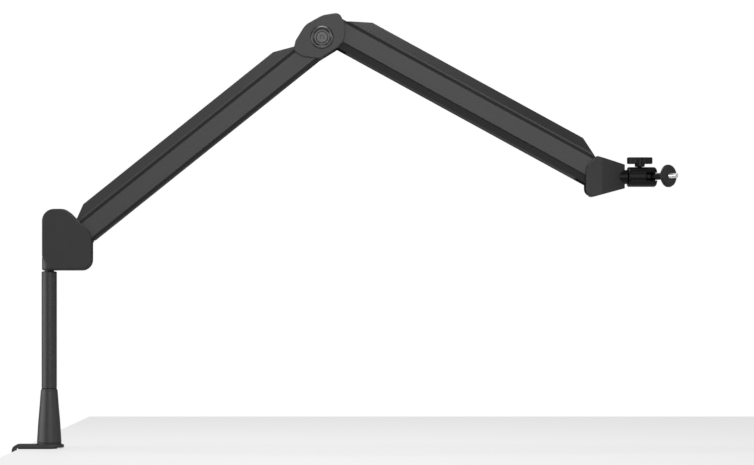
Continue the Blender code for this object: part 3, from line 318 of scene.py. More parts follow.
def arc_corner(before, corner, after, radius, steps):
    """The points of a rounded corner, tangent to both of its sides."""
    corner = Vector(corner)
    to_before = (Vector(before) - corner).normalized()
    to_after = (Vector(after) - corner).normalized()
    half = to_before.angle(to_after) / 2
    reach = radius / math.tan(half)
    centre = corner + (to_before + to_after).normalized() * (radius / math.sin(half))
    start = corner + to_before * reach - centre
    end = corner + to_after * reach - centre
    sweep = math.atan2(start.x * end.y - start.y * end.x, start.dot(end))
    first = math.atan2(start.y, start.x)
    turns = [first + sweep * k / steps for k in range(steps + 1)]
    return [(centre.x + radius * math.cos(t), centre.y + radius * math.sin(t)) for t in turns]


def rounded(corners, steps=CORNER_STEPS):
    """Closed outline from corners (a, b) or (a, b, radius)."""
    places = [corner[:2] for corner in corners]
    points = []
    for k, corner in enumerate(corners):
        if len(corner) == 2 or corner[2] == 0:
            points.append(places[k])
            continue
        after = places[(k + 1) % len(places)]
        points.extend(arc_corner(places[k - 1], places[k], after, corner[2], steps))
    return points


def mirrored(corners):
    """The other half of an outline that is the same on both sides of a = 0."""
    return list(corners) + [(-corner[0], *corner[1:]) for corner in reversed(corners)]


# Solids

shop = bpy.data.collections.new("shop")
bpy.context.scene.collection.children.link(shop)


def in_shop(mesh):
    obj = bpy.data.objects.new(mesh.name, mesh)
    shop.objects.link(obj)
    return obj


def from_bmesh(shape, name="shape"):
    bmesh.ops.remove_doubles(shape, verts=shape.verts, dist=0.002)
    bmesh.ops.recalc_face_normals(shape, faces=shape.faces)
    mesh = bpy.data.meshes.new(name)
    shape.to_mesh(mesh)
    shape.free()
    return in_shop(mesh)


PLACING = {
    "X": lambda a, b, t: (t, a, b),
    "Y": lambda a, b, t: (a, t, b),
    "Z": lambda a, b, t: (a, b, t),
}


def prism(loop, low, high, axis="Y", low_round=0.0, high_round=0.0, round_steps=5):
    """An outline pushed from low to high along an axis, with its end edges rounded."""
    shape = bmesh.new()
    placing = PLACING[axis]
    ends = {}
    for level in (low, high):
        ends[level] = [shape.verts.new(placing(a, b, level)) for a, b in loop]
    shape.faces.new(ends[low])
    shape.faces.new(ends[high])
    count = len(loop)
    for k in range(count):
        after = (k + 1) % count
        shape.faces.new((ends[low][k], ends[low][after], ends[high][after], ends[high][k]))
    bmesh.ops.recalc_face_normals(shape, faces=shape.faces)
    for level, radius in ((low, low_round), (high, high_round)):
        if radius:
            rim = [edge for edge in shape.edges if all(vertex in ends[level] for vertex in edge.verts)]
            bmesh.ops.bevel(shape, geom=rim, offset=radius, segments=round_steps, profile=0.5,
                            affect="EDGES", clamp_overlap=True)
            if level == low:
                index = "XYZ".index(axis)
                ends[high] = [v for v in shape.verts if abs(v.co[index] - high) < 1e-6]
    return from_bmesh(shape)


def block(low, high):
    shape = bmesh.new()
    bmesh.ops.create_cube(shape, size=1)
    size = Vector(high) - Vector(low)
    bmesh.ops.scale(shape, vec=size, verts=shape.verts)
    bmesh.ops.translate(shape, vec=(Vector(high) + Vector(low)) / 2, verts=shape.verts)
    return from_bmesh(shape)


def along(direction, base=(0, 0, 0)):
    """Matrix that puts local Z along a direction, from a base."""
    return Matrix.Translation(base) @ Vector(direction).to_track_quat("Z", "Y").to_matrix().to_4x4()


def turned(corners, base=(0, 0, 0), direction=(0, 0, 1), steps=96, corner_steps=4):
    """A turned piece: its closed half section (radius, height) goes round the axis."""
    loop = rounded(corners, corner_steps)
    shape = bmesh.new()
    rings = []
    for radius, height in loop:
        if radius < 1e-6:
            rings.append([shape.verts.new((0, 0, height))] * steps)
            continue
        turns = [2 * math.pi * k / steps for k in range(steps)]
        rings.append([shape.verts.new((radius * math.cos(t), radius * math.sin(t), height)) for t in turns])
    for ring, following in zip(rings, rings[1:] + rings[:1]):
        for k in range(steps):
            after = (k + 1) % steps
            corner_verts = dict.fromkeys((ring[k], ring[after], following[after], following[k]))
            if len(corner_verts) > 2:
                shape.faces.new(corner_verts)
    bmesh.ops.transform(shape, matrix=along(direction, base), verts=shape.verts)
    return from_bmesh(shape)


def rod(radius, start, end, edge=0.0, steps=48):
    length = (Vector(end) - Vector(start)).length
    section = [(0, 0), (radius, 0, edge), (radius, length, edge), (0, length)]
    return turned(section, start, Vector(end) - Vector(start), steps)


def cone_cutter(wide, narrow, depth, start, direction, steps=48):
    """A countersink with its hole, from above the surface inwards."""
    section = [(0, 1), (wide + 1, 1), (wide, 0), (narrow, -depth), (0, -depth)]
    return turned(section, start, direction, steps)


def threaded(radius, depth, pitch, low, high, base, direction, columns=28, rows_per_turn=8):
    """A screw thread as a wavy cylinder that fades out at both ends."""
    rows = int((high - low) / pitch * rows_per_turn)
    shape = bmesh.new()
    grid = []
    for row in range(rows + 1):
        height = low + (high - low) * row / rows
        fade = min(1.0, (height - low) / pitch, (high - height) / pitch)
        ring = []
        for column in range(columns):
            turn = column / columns
            phase = (height / pitch - turn) % 1.0
            groove = depth * (1 - abs(2 * phase - 1))
            size = radius - depth * (1 - fade) - groove * fade
            ring.append(shape.verts.new((
                size * math.cos(2 * math.pi * turn), size * math.sin(2 * math.pi * turn), height,
            )))
        grid.append(ring)
    for ring, above in zip(grid, grid[1:]):
        for k in range(columns):
            after = (k + 1) % columns
            shape.faces.new((ring[k], ring[after], above[after], above[k]))
    shape.faces.new(grid[0])
    shape.faces.new(grid[-1])
    bmesh.ops.transform(shape, matrix=along(direction, base), verts=shape.verts)
    return from_bmesh(shape)


def applied(obj):
    """Turns an object's modifiers into its mesh."""
    bpy.context.view_layer.update()
    graph = bpy.context.evaluated_depsgraph_get()
    old = obj.data
    mesh = bpy.data.meshes.new_from_object(
        obj.evaluated_get(graph), preserve_all_data_layers=True, depsgraph=graph,
    )
    obj.modifiers.clear()
    obj.data = mesh
    bpy.data.meshes.remove(old)
    return obj


def combined(obj, operation, others):
    for other in others:
        modifier = obj.modifiers.new(operation, "BOOLEAN")
        modifier.operation = operation
        modifier.object = other
        modifier.solver = "EXACT"
        applied(obj)
        mesh = other.data
        bpy.data.objects.remove(other)
        bpy.data.meshes.remove(mesh)
    return obj


def minus(obj, *others):
    return combined(obj, "DIFFERENCE", others)


def plus(obj, *others):
    return combined(obj, "UNION", others)


def common(obj, *others):
    return combined(obj, "INTERSECT", others)


def softened(obj, width, steps=2, angle=38):
    """Breaks the sharp edges, as a deburring or a mould radius does."""
    cleaner = bmesh.new()
    cleaner.from_mesh(obj.data)
    flat = math.radians(0.5)
    bmesh.ops.dissolve_limit(cleaner, angle_limit=flat, verts=cleaner.verts, edges=cleaner.edges)
    cleaner.to_mesh(obj.data)
    cleaner.free()
    bevel = obj.modifiers.new("soften", "BEVEL")
    bevel.width = width
    bevel.segments = steps
    bevel.limit_method = "ANGLE"
    bevel.angle_limit = math.radians(angle)
    bevel.use_clamp_overlap = True
    bevel.miter_outer = "MITER_ARC"
    return applied(obj)


def piece(name, obj, finish, body, replaces=(), place=None, smooth_angle=40):
    """Names a finished shape, scales it to metres, and hangs it on its body."""
    shop.objects.unlink(obj)
    bpy.context.scene.collection.objects.link(obj)
    obj.name = name
    obj.data.name = name
    obj.data.transform(Matrix.Scale(MM, 4))
    obj.data.materials.clear()
    obj.data.materials.append(finish)
    obj.data.shade_smooth()
    obj.data.set_sharp_from_angle(angle=math.radians(smooth_angle))
    weighted = obj.modifiers.new("flat_faces_stay_flat", "WEIGHTED_NORMAL")
    weighted.keep_sharp = True
    applied(obj)
    if place:
        obj.matrix_world = place
    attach(obj, body)
    if replaces:
        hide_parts(*replaces)
    return obj


def arm_frame(pivot, angle):
    return Matrix.Translation(pivot * MM) @ Matrix.Rotation(-angle, 4, "Y")


LOWER_FRAME = arm_frame(SHOULDER, LOWER_ANGLE)
UPPER_FRAME = arm_frame(ELBOW_HIGH, UPPER_ANGLE)


# Desk clamp

PLATE_TOP = 5.1
PLATE_THICKNESS = 3.8
PLATE_HALF_WIDTH = 18
PLATE_FRONT = 18.4
CLAMP_BACK = -45.1
CLAMP_BEND = 7
JAW_TOP = -65.2
CLAMP_AXIS = -12
NUT_RADIUS = 9.5
CLAMP_PITCH = 2.0


def strap_end(centre_x, low, high):
    """What rounds the end of the clamp's strap, seen from above."""
    radius = PLATE_HALF_WIDTH
    far = centre_x + radius + 3
    side = radius + 2
    turns = [math.pi * (k / 32 - 0.5) for k in range(33)]
    arc = [(centre_x + radius * math.cos(t), radius * math.sin(t)) for t in turns]
    return prism([(centre_x, side), (far, side), (far, -side), (centre_x, -side)] + arc, low, high, "Z")


def dress_clamp():
    inner_bend = CLAMP_BEND - PLATE_THICKNESS
    jaw_front = CLAMP_AXIS + PLATE_HALF_WIDTH
    jaw_low = JAW_TOP - PLATE_THICKNESS
    outline = rounded([
        (PLATE_FRONT, PLATE_TOP), (CLAMP_BACK, PLATE_TOP, CLAMP_BEND), (CLAMP_BACK, jaw_low, CLAMP_BEND),
        (jaw_front, jaw_low), (jaw_front, JAW_TOP), (CLAMP_BACK + PLATE_THICKNESS, JAW_TOP, inner_bend),
        (CLAMP_BACK + PLATE_THICKNESS, PLATE_TOP - PLATE_THICKNESS, inner_bend),
        (PLATE_FRONT, PLATE_TOP - PLATE_THICKNESS),
    ])
    strap = prism(outline, -PLATE_HALF_WIDTH, PLATE_HALF_WIDTH)
    minus(
        strap,
        strap_end(PLATE_FRONT - PLATE_HALF_WIDTH, -2, PLATE_TOP + 2),
        strap_end(CLAMP_AXIS, jaw_low - 2, JAW_TOP + 2),
        rod(NUT_RADIUS - 2 + GAP, (CLAMP_AXIS, 0, jaw_low - 2), (CLAMP_AXIS, 0, JAW_TOP + 2)),
    )
    softened(strap, 0.7, 3)
    piece("clamp_strap", strap, STEEL_PAINT, "clamp_and_socket", ["clamp_bracket"])

    pad = prism(rounded([(-38, -15.5, 3), (10, -15.5, 12), (10, 15.5, 12), (-38, 15.5, 3)]), 0, 1.0, "Z")
    piece("desk_seat_pad", softened(pad, 0.25), RUBBER, "clamp_and_socket", ["desk_pad"])

    nut_low = JAW_TOP - 14
    shoulder = jaw_low - GAP
    nut = turned([
        (5.3, JAW_TOP, 0.3), (7.5, JAW_TOP, 0.5), (7.5, shoulder), (NUT_RADIUS, shoulder, 0.4),
        (NUT_RADIUS, nut_low, 1.0), (5.3, nut_low, 0.5),
    ], (CLAMP_AXIS, 0, 0))
    grooves = [
        rod(0.6, (CLAMP_AXIS + NUT_RADIUS * math.cos(t), NUT_RADIUS * math.sin(t), nut_low + 2.5),
            (CLAMP_AXIS + NUT_RADIUS * math.cos(t), NUT_RADIUS * math.sin(t), shoulder - 1.5), 0, 8)
        for t in (2 * math.pi * k / 20 for k in range(20))
    ]
    piece("clamp_boss", minus(nut, *grooves), PLATED, "clamp_and_socket", ["clamp_nut"])


def dress_clamp_screw():
    pad_top = -DESK_THICKNESS
    plate_top = pad_top - 2.0
    plate_low = plate_top - 4
    ring_low = pad_top - 0.6
    pad = turned([
        (0, pad_top), (4, pad_top, 0.3), (4.6, ring_low, 0.3), (5.4, ring_low, 0.3), (6, pad_top, 0.3),
        (8.4, pad_top, 0.3), (9, ring_low, 0.3), (9.8, ring_low, 0.3), (10.4, pad_top, 0.3),
        (13.9, pad_top, 0.5), (14, plate_top + GAP), (0, plate_top + GAP),
    ], (CLAMP_AXIS, 0, 0))
    piece("foot_rubber", pad, RUBBER, "clamp_foot", ["foot_pad"])
    hub = plate_low - 4.5
    plate = turned([
        (0, plate_top), (15, plate_top, 0.5), (15, plate_low + 1.2, 0.8), (12.4, plate_low, 2.0),
        (8, plate_low, 1.2), (7, hub, 0.6), (3.1, hub, 0.3), (3.1, plate_top - 2), (0, plate_top - 2),
    ], (CLAMP_AXIS, 0, 0))
    piece("foot_dish", plate, STEEL_PAINT, "clamp_foot", ["foot_plate"])

    screw_top = hub - GAP
    head_top = plate_low - 67
    head_low = head_top - 13
    thread = threaded(4.95, 0.95, CLAMP_PITCH, head_top - 0.5, screw_top, (CLAMP_AXIS, 0, 0), (0, 0, 1))
    tip = rod(2.8, (CLAMP_AXIS, 0, screw_top - 1), (CLAMP_AXIS, 0, plate_top - 2.4), 0.5)
    head = turned([
        (0, head_top), (6.5, head_top, 0.4), (8, head_top - 1.5, 0.5), (8, head_low, 1.2), (0, head_low),
    ], (CLAMP_AXIS, 0, 0))
    bar_height = (head_top + head_low) / 2
    plus(head, plus(thread, tip))
    minus(head, rod(3.3, (CLAMP_AXIS, -20, bar_height), (CLAMP_AXIS, 20, bar_height)))
    piece("clamp_spindle", head, PLATED, "clamp_screw_and_bar", ["clamp_screw"])
    bar = turned([
        (0, -32), (4.4, -32, 1.0), (4.4, -26, 0.8), (3, -25.4, 0.4), (3, 25.4, 0.4), (4.4, 26, 0.8),
        (4.4, 32, 1.0), (0, 32),
    ], (CLAMP_AXIS, 0, bar_height), (0, 1, 0), 64)
    piece("turning_bar", bar, PLATED, "clamp_screw_and_bar", ["tommy_bar"])


# Riser

SOCKET_TOP = 74.0
TUBE_LOW = 74.15
TUBE_HIGH = 219.2
TUBE_RADIUS = 9.45
TUBE_BORE = 7.5


def dress_riser():
    foot = PLATE_TOP + 0.2
    socket = turned([
        (8.9, SOCKET_TOP), (9.6, SOCKET_TOP, 0.4), (10.5, 71.3, 3), (12.1, 50.5, 60), (13.6, 33.6, 60),
        (15.0, 11.5, 20), (15.2, foot + 2.4, 0.4), (14.7, foot + 2.0, 0.3), (14.7, foot + 1.4, 0.3),
        (15.6, foot + 1.1, 0.3), (15.6, foot), (6, foot), (6, 20), (8.9, 20),
    ], steps=128)
    piece("socket_cone", socket, STEEL_PAINT, "clamp_and_socket", ["riser_socket"])
    tube = turned([
        (TUBE_BORE, TUBE_HIGH, 0.3), (TUBE_RADIUS, TUBE_HIGH, 1.3), (TUBE_RADIUS, TUBE_LOW, 0.7),
        (TUBE_BORE, TUBE_LOW, 0.3),
    ], steps=128, corner_steps=6)
    piece("riser_column", tube, TUBE_PAINT, "riser", ["riser_tube"])


# Shoulder

CHEEK_INNER = 17.6
CHEEK_OUTER = 20.5
SHOULDER_OUTLINE = [
    (-7.7, 296.0, 15), (-7.7, 236.5, 4), (-5.6, 220.7, 3.5), (53.4, 220.7, 13.5), (53.4, 265, 14),
    (22.6, 296.0, 17),
]
FRONT_CORNER = [(-7.7, 237.5, 9), (1.2, 220.7, 4)]
SHOULDER_SCREW = Vector((1.5, 0, 256))


def dress_shoulder_screw():
    """The countersunk screw, with its hexagon socket, in the back cover."""
    outer = CHEEK_OUTER - 0.2
    head, shank, length = 3.4, 1.6, 12
    section = [
        (0, 0), (head, 0, 0.15), (head, -0.5), (shank, -2.2), (shank, -length), (0, -length),
    ]
    screw = turned(section, (SHOULDER_SCREW.x, outer, SHOULDER_SCREW.z), (0, 1, 0), 48)
    size = head * 0.62
    turns = [math.radians(60 * k) for k in range(6)]
    hexagon = [
        (SHOULDER_SCREW.x + size * math.cos(t), SHOULDER_SCREW.z + size * math.sin(t)) for t in turns
    ]
    minus(screw, prism(hexagon, outer - 1.5, outer + 1))
    piece("shoulder_shell_screw", screw, BLACK_SCREW, "shoulder", ["shoulder_screw"])


def inset_path(points, depth):
    """Points moved to the left of the way they run, by depth."""
    moved = []
    for k, point in enumerate(points):
        before = Vector(points[max(k - 1, 0)])
        after = Vector(points[min(k + 1, len(points) - 1)])
        way = (after - before).normalized()
        moved.append((point[0] - way.y * depth, point[1] + way.x * depth))
    return moved


def dress_shoulder():
    per_corner = CORNER_STEPS + 1
    for side, way in ((-1, "front"), (1, "back")):
        corners = list(SHOULDER_OUTLINE)
        if side < 0:
            corners[1:3] = FRONT_CORNER
        outline = rounded(corners)
        rim = outline[4:3 * per_corner]
        inner = inset_path(rim, 2.2) + [(42, 222.9), (42, 215), (70, 215), (70, 305), (1.0, 305)]
        low, high = sorted((side * GAP / 2, side * CHEEK_OUTER))
        rounding = {"low_round": 2.4} if side < 0 else {"high_round": 2.4}
        shell = prism(outline, low, high, **rounding)
        room_low, room_high = sorted((side * -2, side * CHEEK_INNER))
        minus(
            shell,
            prism(inner, room_low, room_high),
            rod(11.0, (0, 0, 205), (0, 0, 238.1), 0, 96),
        )
        if side > 0:
            sink = (SHOULDER_SCREW.x, CHEEK_OUTER - 0.1, SHOULDER_SCREW.z)
            minus(shell, cone_cutter(3.7, 1.9, 8, sink, (0, 1, 0)))
        piece(f"shoulder_{way}_shell", shell, HOUSING, "shoulder", [f"shoulder_{way}_cover"])
    dress_shoulder_screw()
    collar = turned([
        (0, 252), (5, 252, 0.3), (5, 237), (9.0, 237, 0.8), (9.0, 222.4, 0.8), (8.4, 220.7, 0.3),
        (6, 220.7, 0.2), (6, 160, 1), (0, 160),
    ])
    piece("shoulder_collar", collar, STEEL_PAINT, "shoulder", ["shoulder_spigot"])


# Arms

ARM_HALF_WIDTH = 17
ARM_WALL = 2.2
BEAM_LOW = -14
BEAM_HIGH = 11
WEB_LOW = 6.5
WEB_HIGH = 8.3
CORE_ROOM = 19
BEAM_END = 12.5
PIN_HOLE = 2.8
SEAM_DEPTH = 1.6
SEAM_HEIGHT = 3.2
BELLY_START = 30
BELLY_TOP = -12.1
SKIRT_INNER = 12.6
LID_HEIGHT = 14.3
LID_LIP = 2.0
LID_ROOF_HALF_WIDTH = 10.5
# Thickness of the black strip of painted shade set into the groove under each lid's lip
GROOVE_SHADE_THICKNESS = 0.7
LOWER_BELLY = -17.7
UPPER_BELLY = -22.5


def beam_section():
    """Two walls and a web, with a rebate along each wall's top that holds a black strip of painted shade
    under the lid's lip.
    """
    inner = ARM_HALF_WIDTH - ARM_WALL
    seam = ARM_HALF_WIDTH - SEAM_DEPTH
    seam_low = BEAM_HIGH - SEAM_HEIGHT
    half = [
        (inner, WEB_LOW, 0.8), (inner, BEAM_LOW, 0.3), (ARM_HALF_WIDTH, BEAM_LOW, 1.1),
        (ARM_HALF_WIDTH, seam_low, 0.2), (seam, seam_low, 0.2),
        (seam, BEAM_HIGH, 0.2), (inner, BEAM_HIGH, 0.2), (inner, WEB_HIGH, 0.6),
    ]
    return rounded(mirrored(half), 4)


def dress_beam(name, length, far_corners, place, body, node):
    beam = prism(beam_section(), -BEAM_END, length + BEAM_END, "X")
    corners = [(-BEAM_END, BEAM_LOW, 12.2)]
    corners += [(length + a, w, radius) for a, w, radius in far_corners]
    corners.append((-BEAM_END, BEAM_HIGH, 10.8))
    wide = ARM_HALF_WIDTH - ARM_WALL
    common(beam, prism(rounded(corners), -25, 25))
    minus(
        beam,
        block((-30, -wide, -30), (CORE_ROOM, wide, 30)),
        block((length - CORE_ROOM, -wide, -30), (length + 30, wide, 30)),
        rod(PIN_HOLE, (0, -25, 0), (0, 25, 0)),
        rod(PIN_HOLE, (length, -25, 0), (length, 25, 0)),
    )
    softened(beam, 0.25, 2, 50)
    piece(name, beam, PANEL, body, [node], place)


def side_view(start, end, start_slope, end_slope, low, high, inset, below):
    """A lid seen from the side: sloped ends, drawn past its bottom and top."""
    beyond = high + below - low
    return [
        (start + inset - below * start_slope, low - below),
        (end - inset + below * end_slope, low - below),
        (end - inset - beyond * end_slope, high + below),
        (start + inset + beyond * start_slope, high + below),
    ]


def dress_channel_cover(name, start, end, start_slope, end_slope, place, body, node):
    """The lid over the cable channel, and on both sides under its lip a dark strip of painted shade for the
    groove's shadow line.
    """
    low = BEAM_HIGH + GAP
    high = low + LID_HEIGHT
    ends = (start, end, start_slope, end_slope, low, high)
    lip = low + LID_LIP
    half = [(ARM_HALF_WIDTH, low, 0.2), (ARM_HALF_WIDTH, lip, 0.8), (LID_ROOF_HALF_WIDTH, high, 2.2)]
    shell = prism(rounded(mirrored(half), 6), start - 5, end + 5, "X")
    hollow_half = [(15.2, low - 6), (15.2, lip - 0.4, 0.5), (9.1, high - 1.8, 1.4)]
    hollow = prism(rounded(mirrored(hollow_half), 5), start - 6, end + 6, "X")
    common(shell, prism(side_view(*ends, 0, 5), -25, 25))
    common(hollow, prism(side_view(*ends, 4, 8), -26, 26))
    notch = prism(rounded([
        (-6.5, low - 6), (6.5, low - 6), (6.5, low + 6.5, 3), (-6.5, low + 6.5, 3),
    ]), start - 8, end + 8, "X")
    minus(shell, hollow, notch)
    softened(shell, 0.5, 3, 32)
    piece(name, shell, COVER, body, [node], place)

    # A black strip on both sides, set back in the rebate under the lid's lip: painted shade that darkens
    # the groove.
    inner = ARM_HALF_WIDTH - SEAM_DEPTH + 0.05
    groove_shade = in_shop(bpy.data.meshes.new("groove_shade"))
    strips = bmesh.new()
    for side in (-1, 1):
        near, far = sorted((side * inner, side * (inner + GROOVE_SHADE_THICKNESS)))
        strip = block((start - 5, near, BEAM_HIGH - SEAM_HEIGHT + 0.1), (end + 5, far, low - 0.02))
        strips.from_mesh(strip.data)
        bpy.data.objects.remove(strip)
    strips.to_mesh(groove_shade.data)
    strips.free()
    common(groove_shade, prism(side_view(*ends, 0, 5), -25, 25))
    piece(f"{name}_seal", groove_shade, PLASTIC, body, [], place)


def dress_bottom_cover(name, length, belly, near_end, far_end, place, body, node):
    """The moulded cover under the springs, which bulges below the walls to the belly height.

    Each end is given by its places along the arm at the top and at the belly. Only the
    cover's two skirts go on where the level pieces need room.
    """
    half = ARM_HALF_WIDTH - ARM_WALL - GAP
    outline = rounded([
        (near_end[0], BELLY_TOP), (near_end[1], belly, 1.2),
        (far_end[1], belly, 1.2), (far_end[0], BELLY_TOP),
    ], 4)
    cover = prism(outline, -half, half)
    room = CORE_ROOM + GAP
    side = SKIRT_INNER
    minus(
        cover,
        block((-30, -side, -30), (room, side, 0)),
        block((-30, -side, -30), (BELLY_START, side, BEAM_LOW + GAP)),
        block((length - room, -side, -30), (length + 30, side, 0)),
    )
    first, last = BELLY_START + 8, length - room - 8
    grooves = [block((first, y - 0.4, belly - 1), (last, y + 0.4, belly + 0.5)) for y in (-8, 8)]
    minus(cover, *grooves)
    piece(name, softened(cover, 0.4, 3), PLASTIC, body, [node], place)


def dress_arms():
    dress_beam("lower_arm_extrusion", LOWER_LENGTH, [(12.5, -14, 12.2), (12.5, 11, 10.8)], LOWER_FRAME,
               "lower_arm", "lower_arm_beam")
    dress_channel_cover("lower_cable_lid", 20, LOWER_LENGTH - 8, 1.85, 2.15, LOWER_FRAME,
                        "lower_arm_cover", "lower_channel_cover")
    near_end = (CORE_ROOM + GAP, BELLY_START)
    far_end = (LOWER_LENGTH - 3.5, LOWER_LENGTH + 4.5)
    dress_bottom_cover("lower_belly_plate", LOWER_LENGTH, LOWER_BELLY, near_end, far_end, LOWER_FRAME,
                       "lower_arm", "lower_bottom_cover")
    head_end = [(-8, -14, 6), (2.6, -7.1, 4), (6.6, -3, 4), (6.6, 7, 6.4), (-4.5, 9.3, 3), (-12, 11, 2)]
    dress_beam("upper_arm_extrusion", UPPER_LENGTH, head_end, UPPER_FRAME, "upper_arm", "upper_arm_beam")
    dress_channel_cover("upper_cable_lid", 13, UPPER_LENGTH - 11.2, 1.95, 1.7, UPPER_FRAME,
                        "upper_arm_cover", "upper_channel_cover")
    near_end = (17.5, 14.5)
    far_end = (UPPER_LENGTH - 8, UPPER_LENGTH - 3)
    dress_bottom_cover("upper_belly_plate", UPPER_LENGTH, UPPER_BELLY, near_end, far_end, UPPER_FRAME,
                       "upper_arm", "upper_bottom_cover")
    bumper = turned([(0, 0), (2.4, 0, 0.2), (2.4, -3.2, 0.3), (1.6, -4.8, 1.2), (0, -4.8)],
                    (25.9, 0, BEAM_LOW), steps=48)
    piece("arm_stop_bumper", bumper, RUBBER, "lower_arm", ["lower_arm_bumper"], LOWER_FRAME)


# Elbow

ELBOW_OUTLINE = [
    (303.2, 489.5, 6), (313, 483.6, 12), (334, 480.8, 7), (357, 495, 10), (364.2, 503, 12), (366.2, 521, 9),
    (358.5, 537.8, 8), (338, 534.5, 26), (316.5, 522.5, 22), (303.8, 502, 14),
]
CAP_CENTRE = Vector((337.0, 0, 507.1))
CAP_RADIUS = 14.0
CAP_SEAT_DEPTH = 1.6


def dress_elbow():
    x, z = CAP_CENTRE.x, CAP_CENTRE.z
    for side, way in ((-1, "front"), (1, "back")):
        low, high = sorted((side * CHEEK_INNER, side * CHEEK_OUTER))
        rounding = {"low_round": 1.3} if side < 0 else {"high_round": 1.3}
        plate = prism(rounded(ELBOW_OUTLINE), low, high, **rounding)
        plus(plate, rod(4.5, (x, side * 12.7, z), (x, side * (CHEEK_INNER + 0.6), z)))
        seat = side * (CHEEK_OUTER - CAP_SEAT_DEPTH)
        minus(
            plate,
            rod(CAP_RADIUS + 0.5, (x, seat, z), (x, side * (CHEEK_OUTER + 2), z), 0, 96),
            rod(3.3, (x, -30, z), (x, 30, z)),
        )
        piece(f"elbow_{way}_plate", plate, HUB_PAINT, "elbow", [f"elbow_{way}_cheek"])
        base = (x, side * (CHEEK_OUTER - CAP_SEAT_DEPTH + GAP), z)
        cap = turned([
            (0, 0), (CAP_RADIUS, 0, 0.2), (CAP_RADIUS, 1.3, 0.4), (12.8, 2.3, 0.4), (11.9, 2.3, 0.3),
            (9.3, 0.6, 0.8), (7.4, 0.6, 0.4), (6.8, 1.8, 0.5), (2.6, 1.8, 0.3), (2.0, 1.3, 0.2), (0, 1.3),
        ], base, (0, side, 0), 128, 5)
        piece(f"elbow_{way}_cap_ring", cap, CAP_GLOSS, "elbow", [f"elbow_{way}_cap"])


# Head

HEAD_OUTLINE = [
    (662, 348, 14), (662.3, 308.5, 9), (712.4, 322.0, 1.2), (712.4, 351.5, 1.2), (675, 361.3, 4),
]
HEAD_BACK_TRIM = [(665, 362, 14), (665.3, 310.5, 9), (730, 328), (730, 362)]
HEAD_PLAN = [(655, 20.5), (655, -20.5), (684, -20.5, 16), (713, -4.3), (713, 4.3), (684, 20.5, 16)]
HEAD_ROOM = [(650, 370), (650, 300), (664, 311.2), (709.5, 323.4), (709.5, 347.5), (692, 352), (688, 370)]
HEAD_ROOM_PLAN = [(645, 17.6), (645, -17.6), (685.5, -17.6, 6), (706.5, -6), (706.5, 6), (685.5, 17.6, 6)]
SPINDLE_RADIUS = 8.75
SPINDLE_START = 690
BARREL_START = 716.3


def dress_head():
    body = prism(rounded(HEAD_OUTLINE, 12), -25, 25)
    common(body, prism(rounded(HEAD_PLAN, 12), 290, 380, "Z"))
    softened(body, 1.4, 5, 38)
    room = prism(rounded(HEAD_ROOM), -30, 30)
    common(room, prism(rounded(HEAD_ROOM_PLAN, 6), 285, 385, "Z"))
    minus(body, room, rod(SPINDLE_RADIUS + GAP, (685, 0, MOUNT_HEIGHT), (715, 0, MOUNT_HEIGHT), 0, 96))
    for side, way in ((-1, "front"), (1, "back")):
        low, high = sorted((side * GAP / 2, side * 30))
        shell = in_shop(body.data.copy())
        common(shell, block((640, low, 290), (730, high, 380)))
        if side > 0:
            common(shell, prism(rounded(HEAD_BACK_TRIM, 12), -1, 30))
        piece(f"head_{way}_shell", shell, HOUSING, "head", [f"head_{way}_cover"])
    bpy.data.objects.remove(body)
    end = BARREL_START - GAP - SPINDLE_START
    spindle = turned([
        (3.4, end, 0.2), (SPINDLE_RADIUS, end, 0.8), (SPINDLE_RADIUS, 0, 0.3), (3.4, 0, 0.2),
    ], (SPINDLE_START, 0, MOUNT_HEIGHT), (1, 0, 0), 96, 3)
    piece("head_mount_spindle", spindle, GLOSS, "head", ["head_spindle"])


# Microphone mount

BARREL_END = 751.9
POCKET_START = 725.8
NOTCH_START = 737.5
BARREL_RADIUS = 12.25
BALL_RADIUS = 8.5
THUMB_X = 731.4
THUMB_BAR = (352.4, 360.5)
STEM_WAY = Vector((math.cos(math.radians(-48)), math.sin(math.radians(-48)), 0))
STEM_RADIUS = 4.2
PLATFORM_START = 27.0
PLATFORM_END = 32.5
PAD_END = 34.0
PLATFORM_RADIUS = 13.8
STUD_RADIUS = 3.175
STUD_HOLE = STUD_RADIUS + GAP
STUD_PITCH = 1.27
STUD_END = 44.0


def dress_barrel():
    length = BARREL_END - BARREL_START
    barrel = turned([
        (0, length), (BARREL_RADIUS, length, 3.6), (BARREL_RADIUS, 0, 1.4), (0, 0),
    ], (BARREL_START, 0, MOUNT_HEIGHT), (1, 0, 0), 128, 8)
    socket = BALL_RADIUS + GAP
    pocket_low = POCKET_START - BALL.x
    arc = [(socket * math.cos(t), socket * math.sin(t)) for t in (math.pi / 2 * k / 12 for k in range(13))]
    pocket = turned([(0, pocket_low), (socket, pocket_low)] + arc[:-1] + [(0, socket)], BALL, (1, 0, 0), 96)
    notch = block((NOTCH_START, -20, MOUNT_HEIGHT - 5), (BARREL_END + 10, 0, MOUNT_HEIGHT + 5))
    grooves = []
    for y_low, y_high in ((-14, -10.4), (10.4, 14)):
        for height in (MOUNT_HEIGHT - 5.2, MOUNT_HEIGHT + 5.2):
            low = (BARREL_START + 3, y_low, height - 0.45)
            grooves.append(block(low, (NOTCH_START, y_high, height + 0.45)))
    minus(
        barrel, pocket, notch,
        rod(7.2, BALL, BALL + Vector((20, 0, 0)), 0, 96),
        rod(3.4, (BARREL_START - 5, 0, MOUNT_HEIGHT), (POCKET_START + 1.5, 0, MOUNT_HEIGHT)),
        rod(3.2, (THUMB_X, 0, MOUNT_HEIGHT + 6), (THUMB_X, 0, MOUNT_HEIGHT + 20)),
        *grooves,
    )
    softened(barrel, 0.35, 3, 45)
    piece("ball_clamp_barrel", barrel, GLOSS, "mount", ["mount_barrel"])


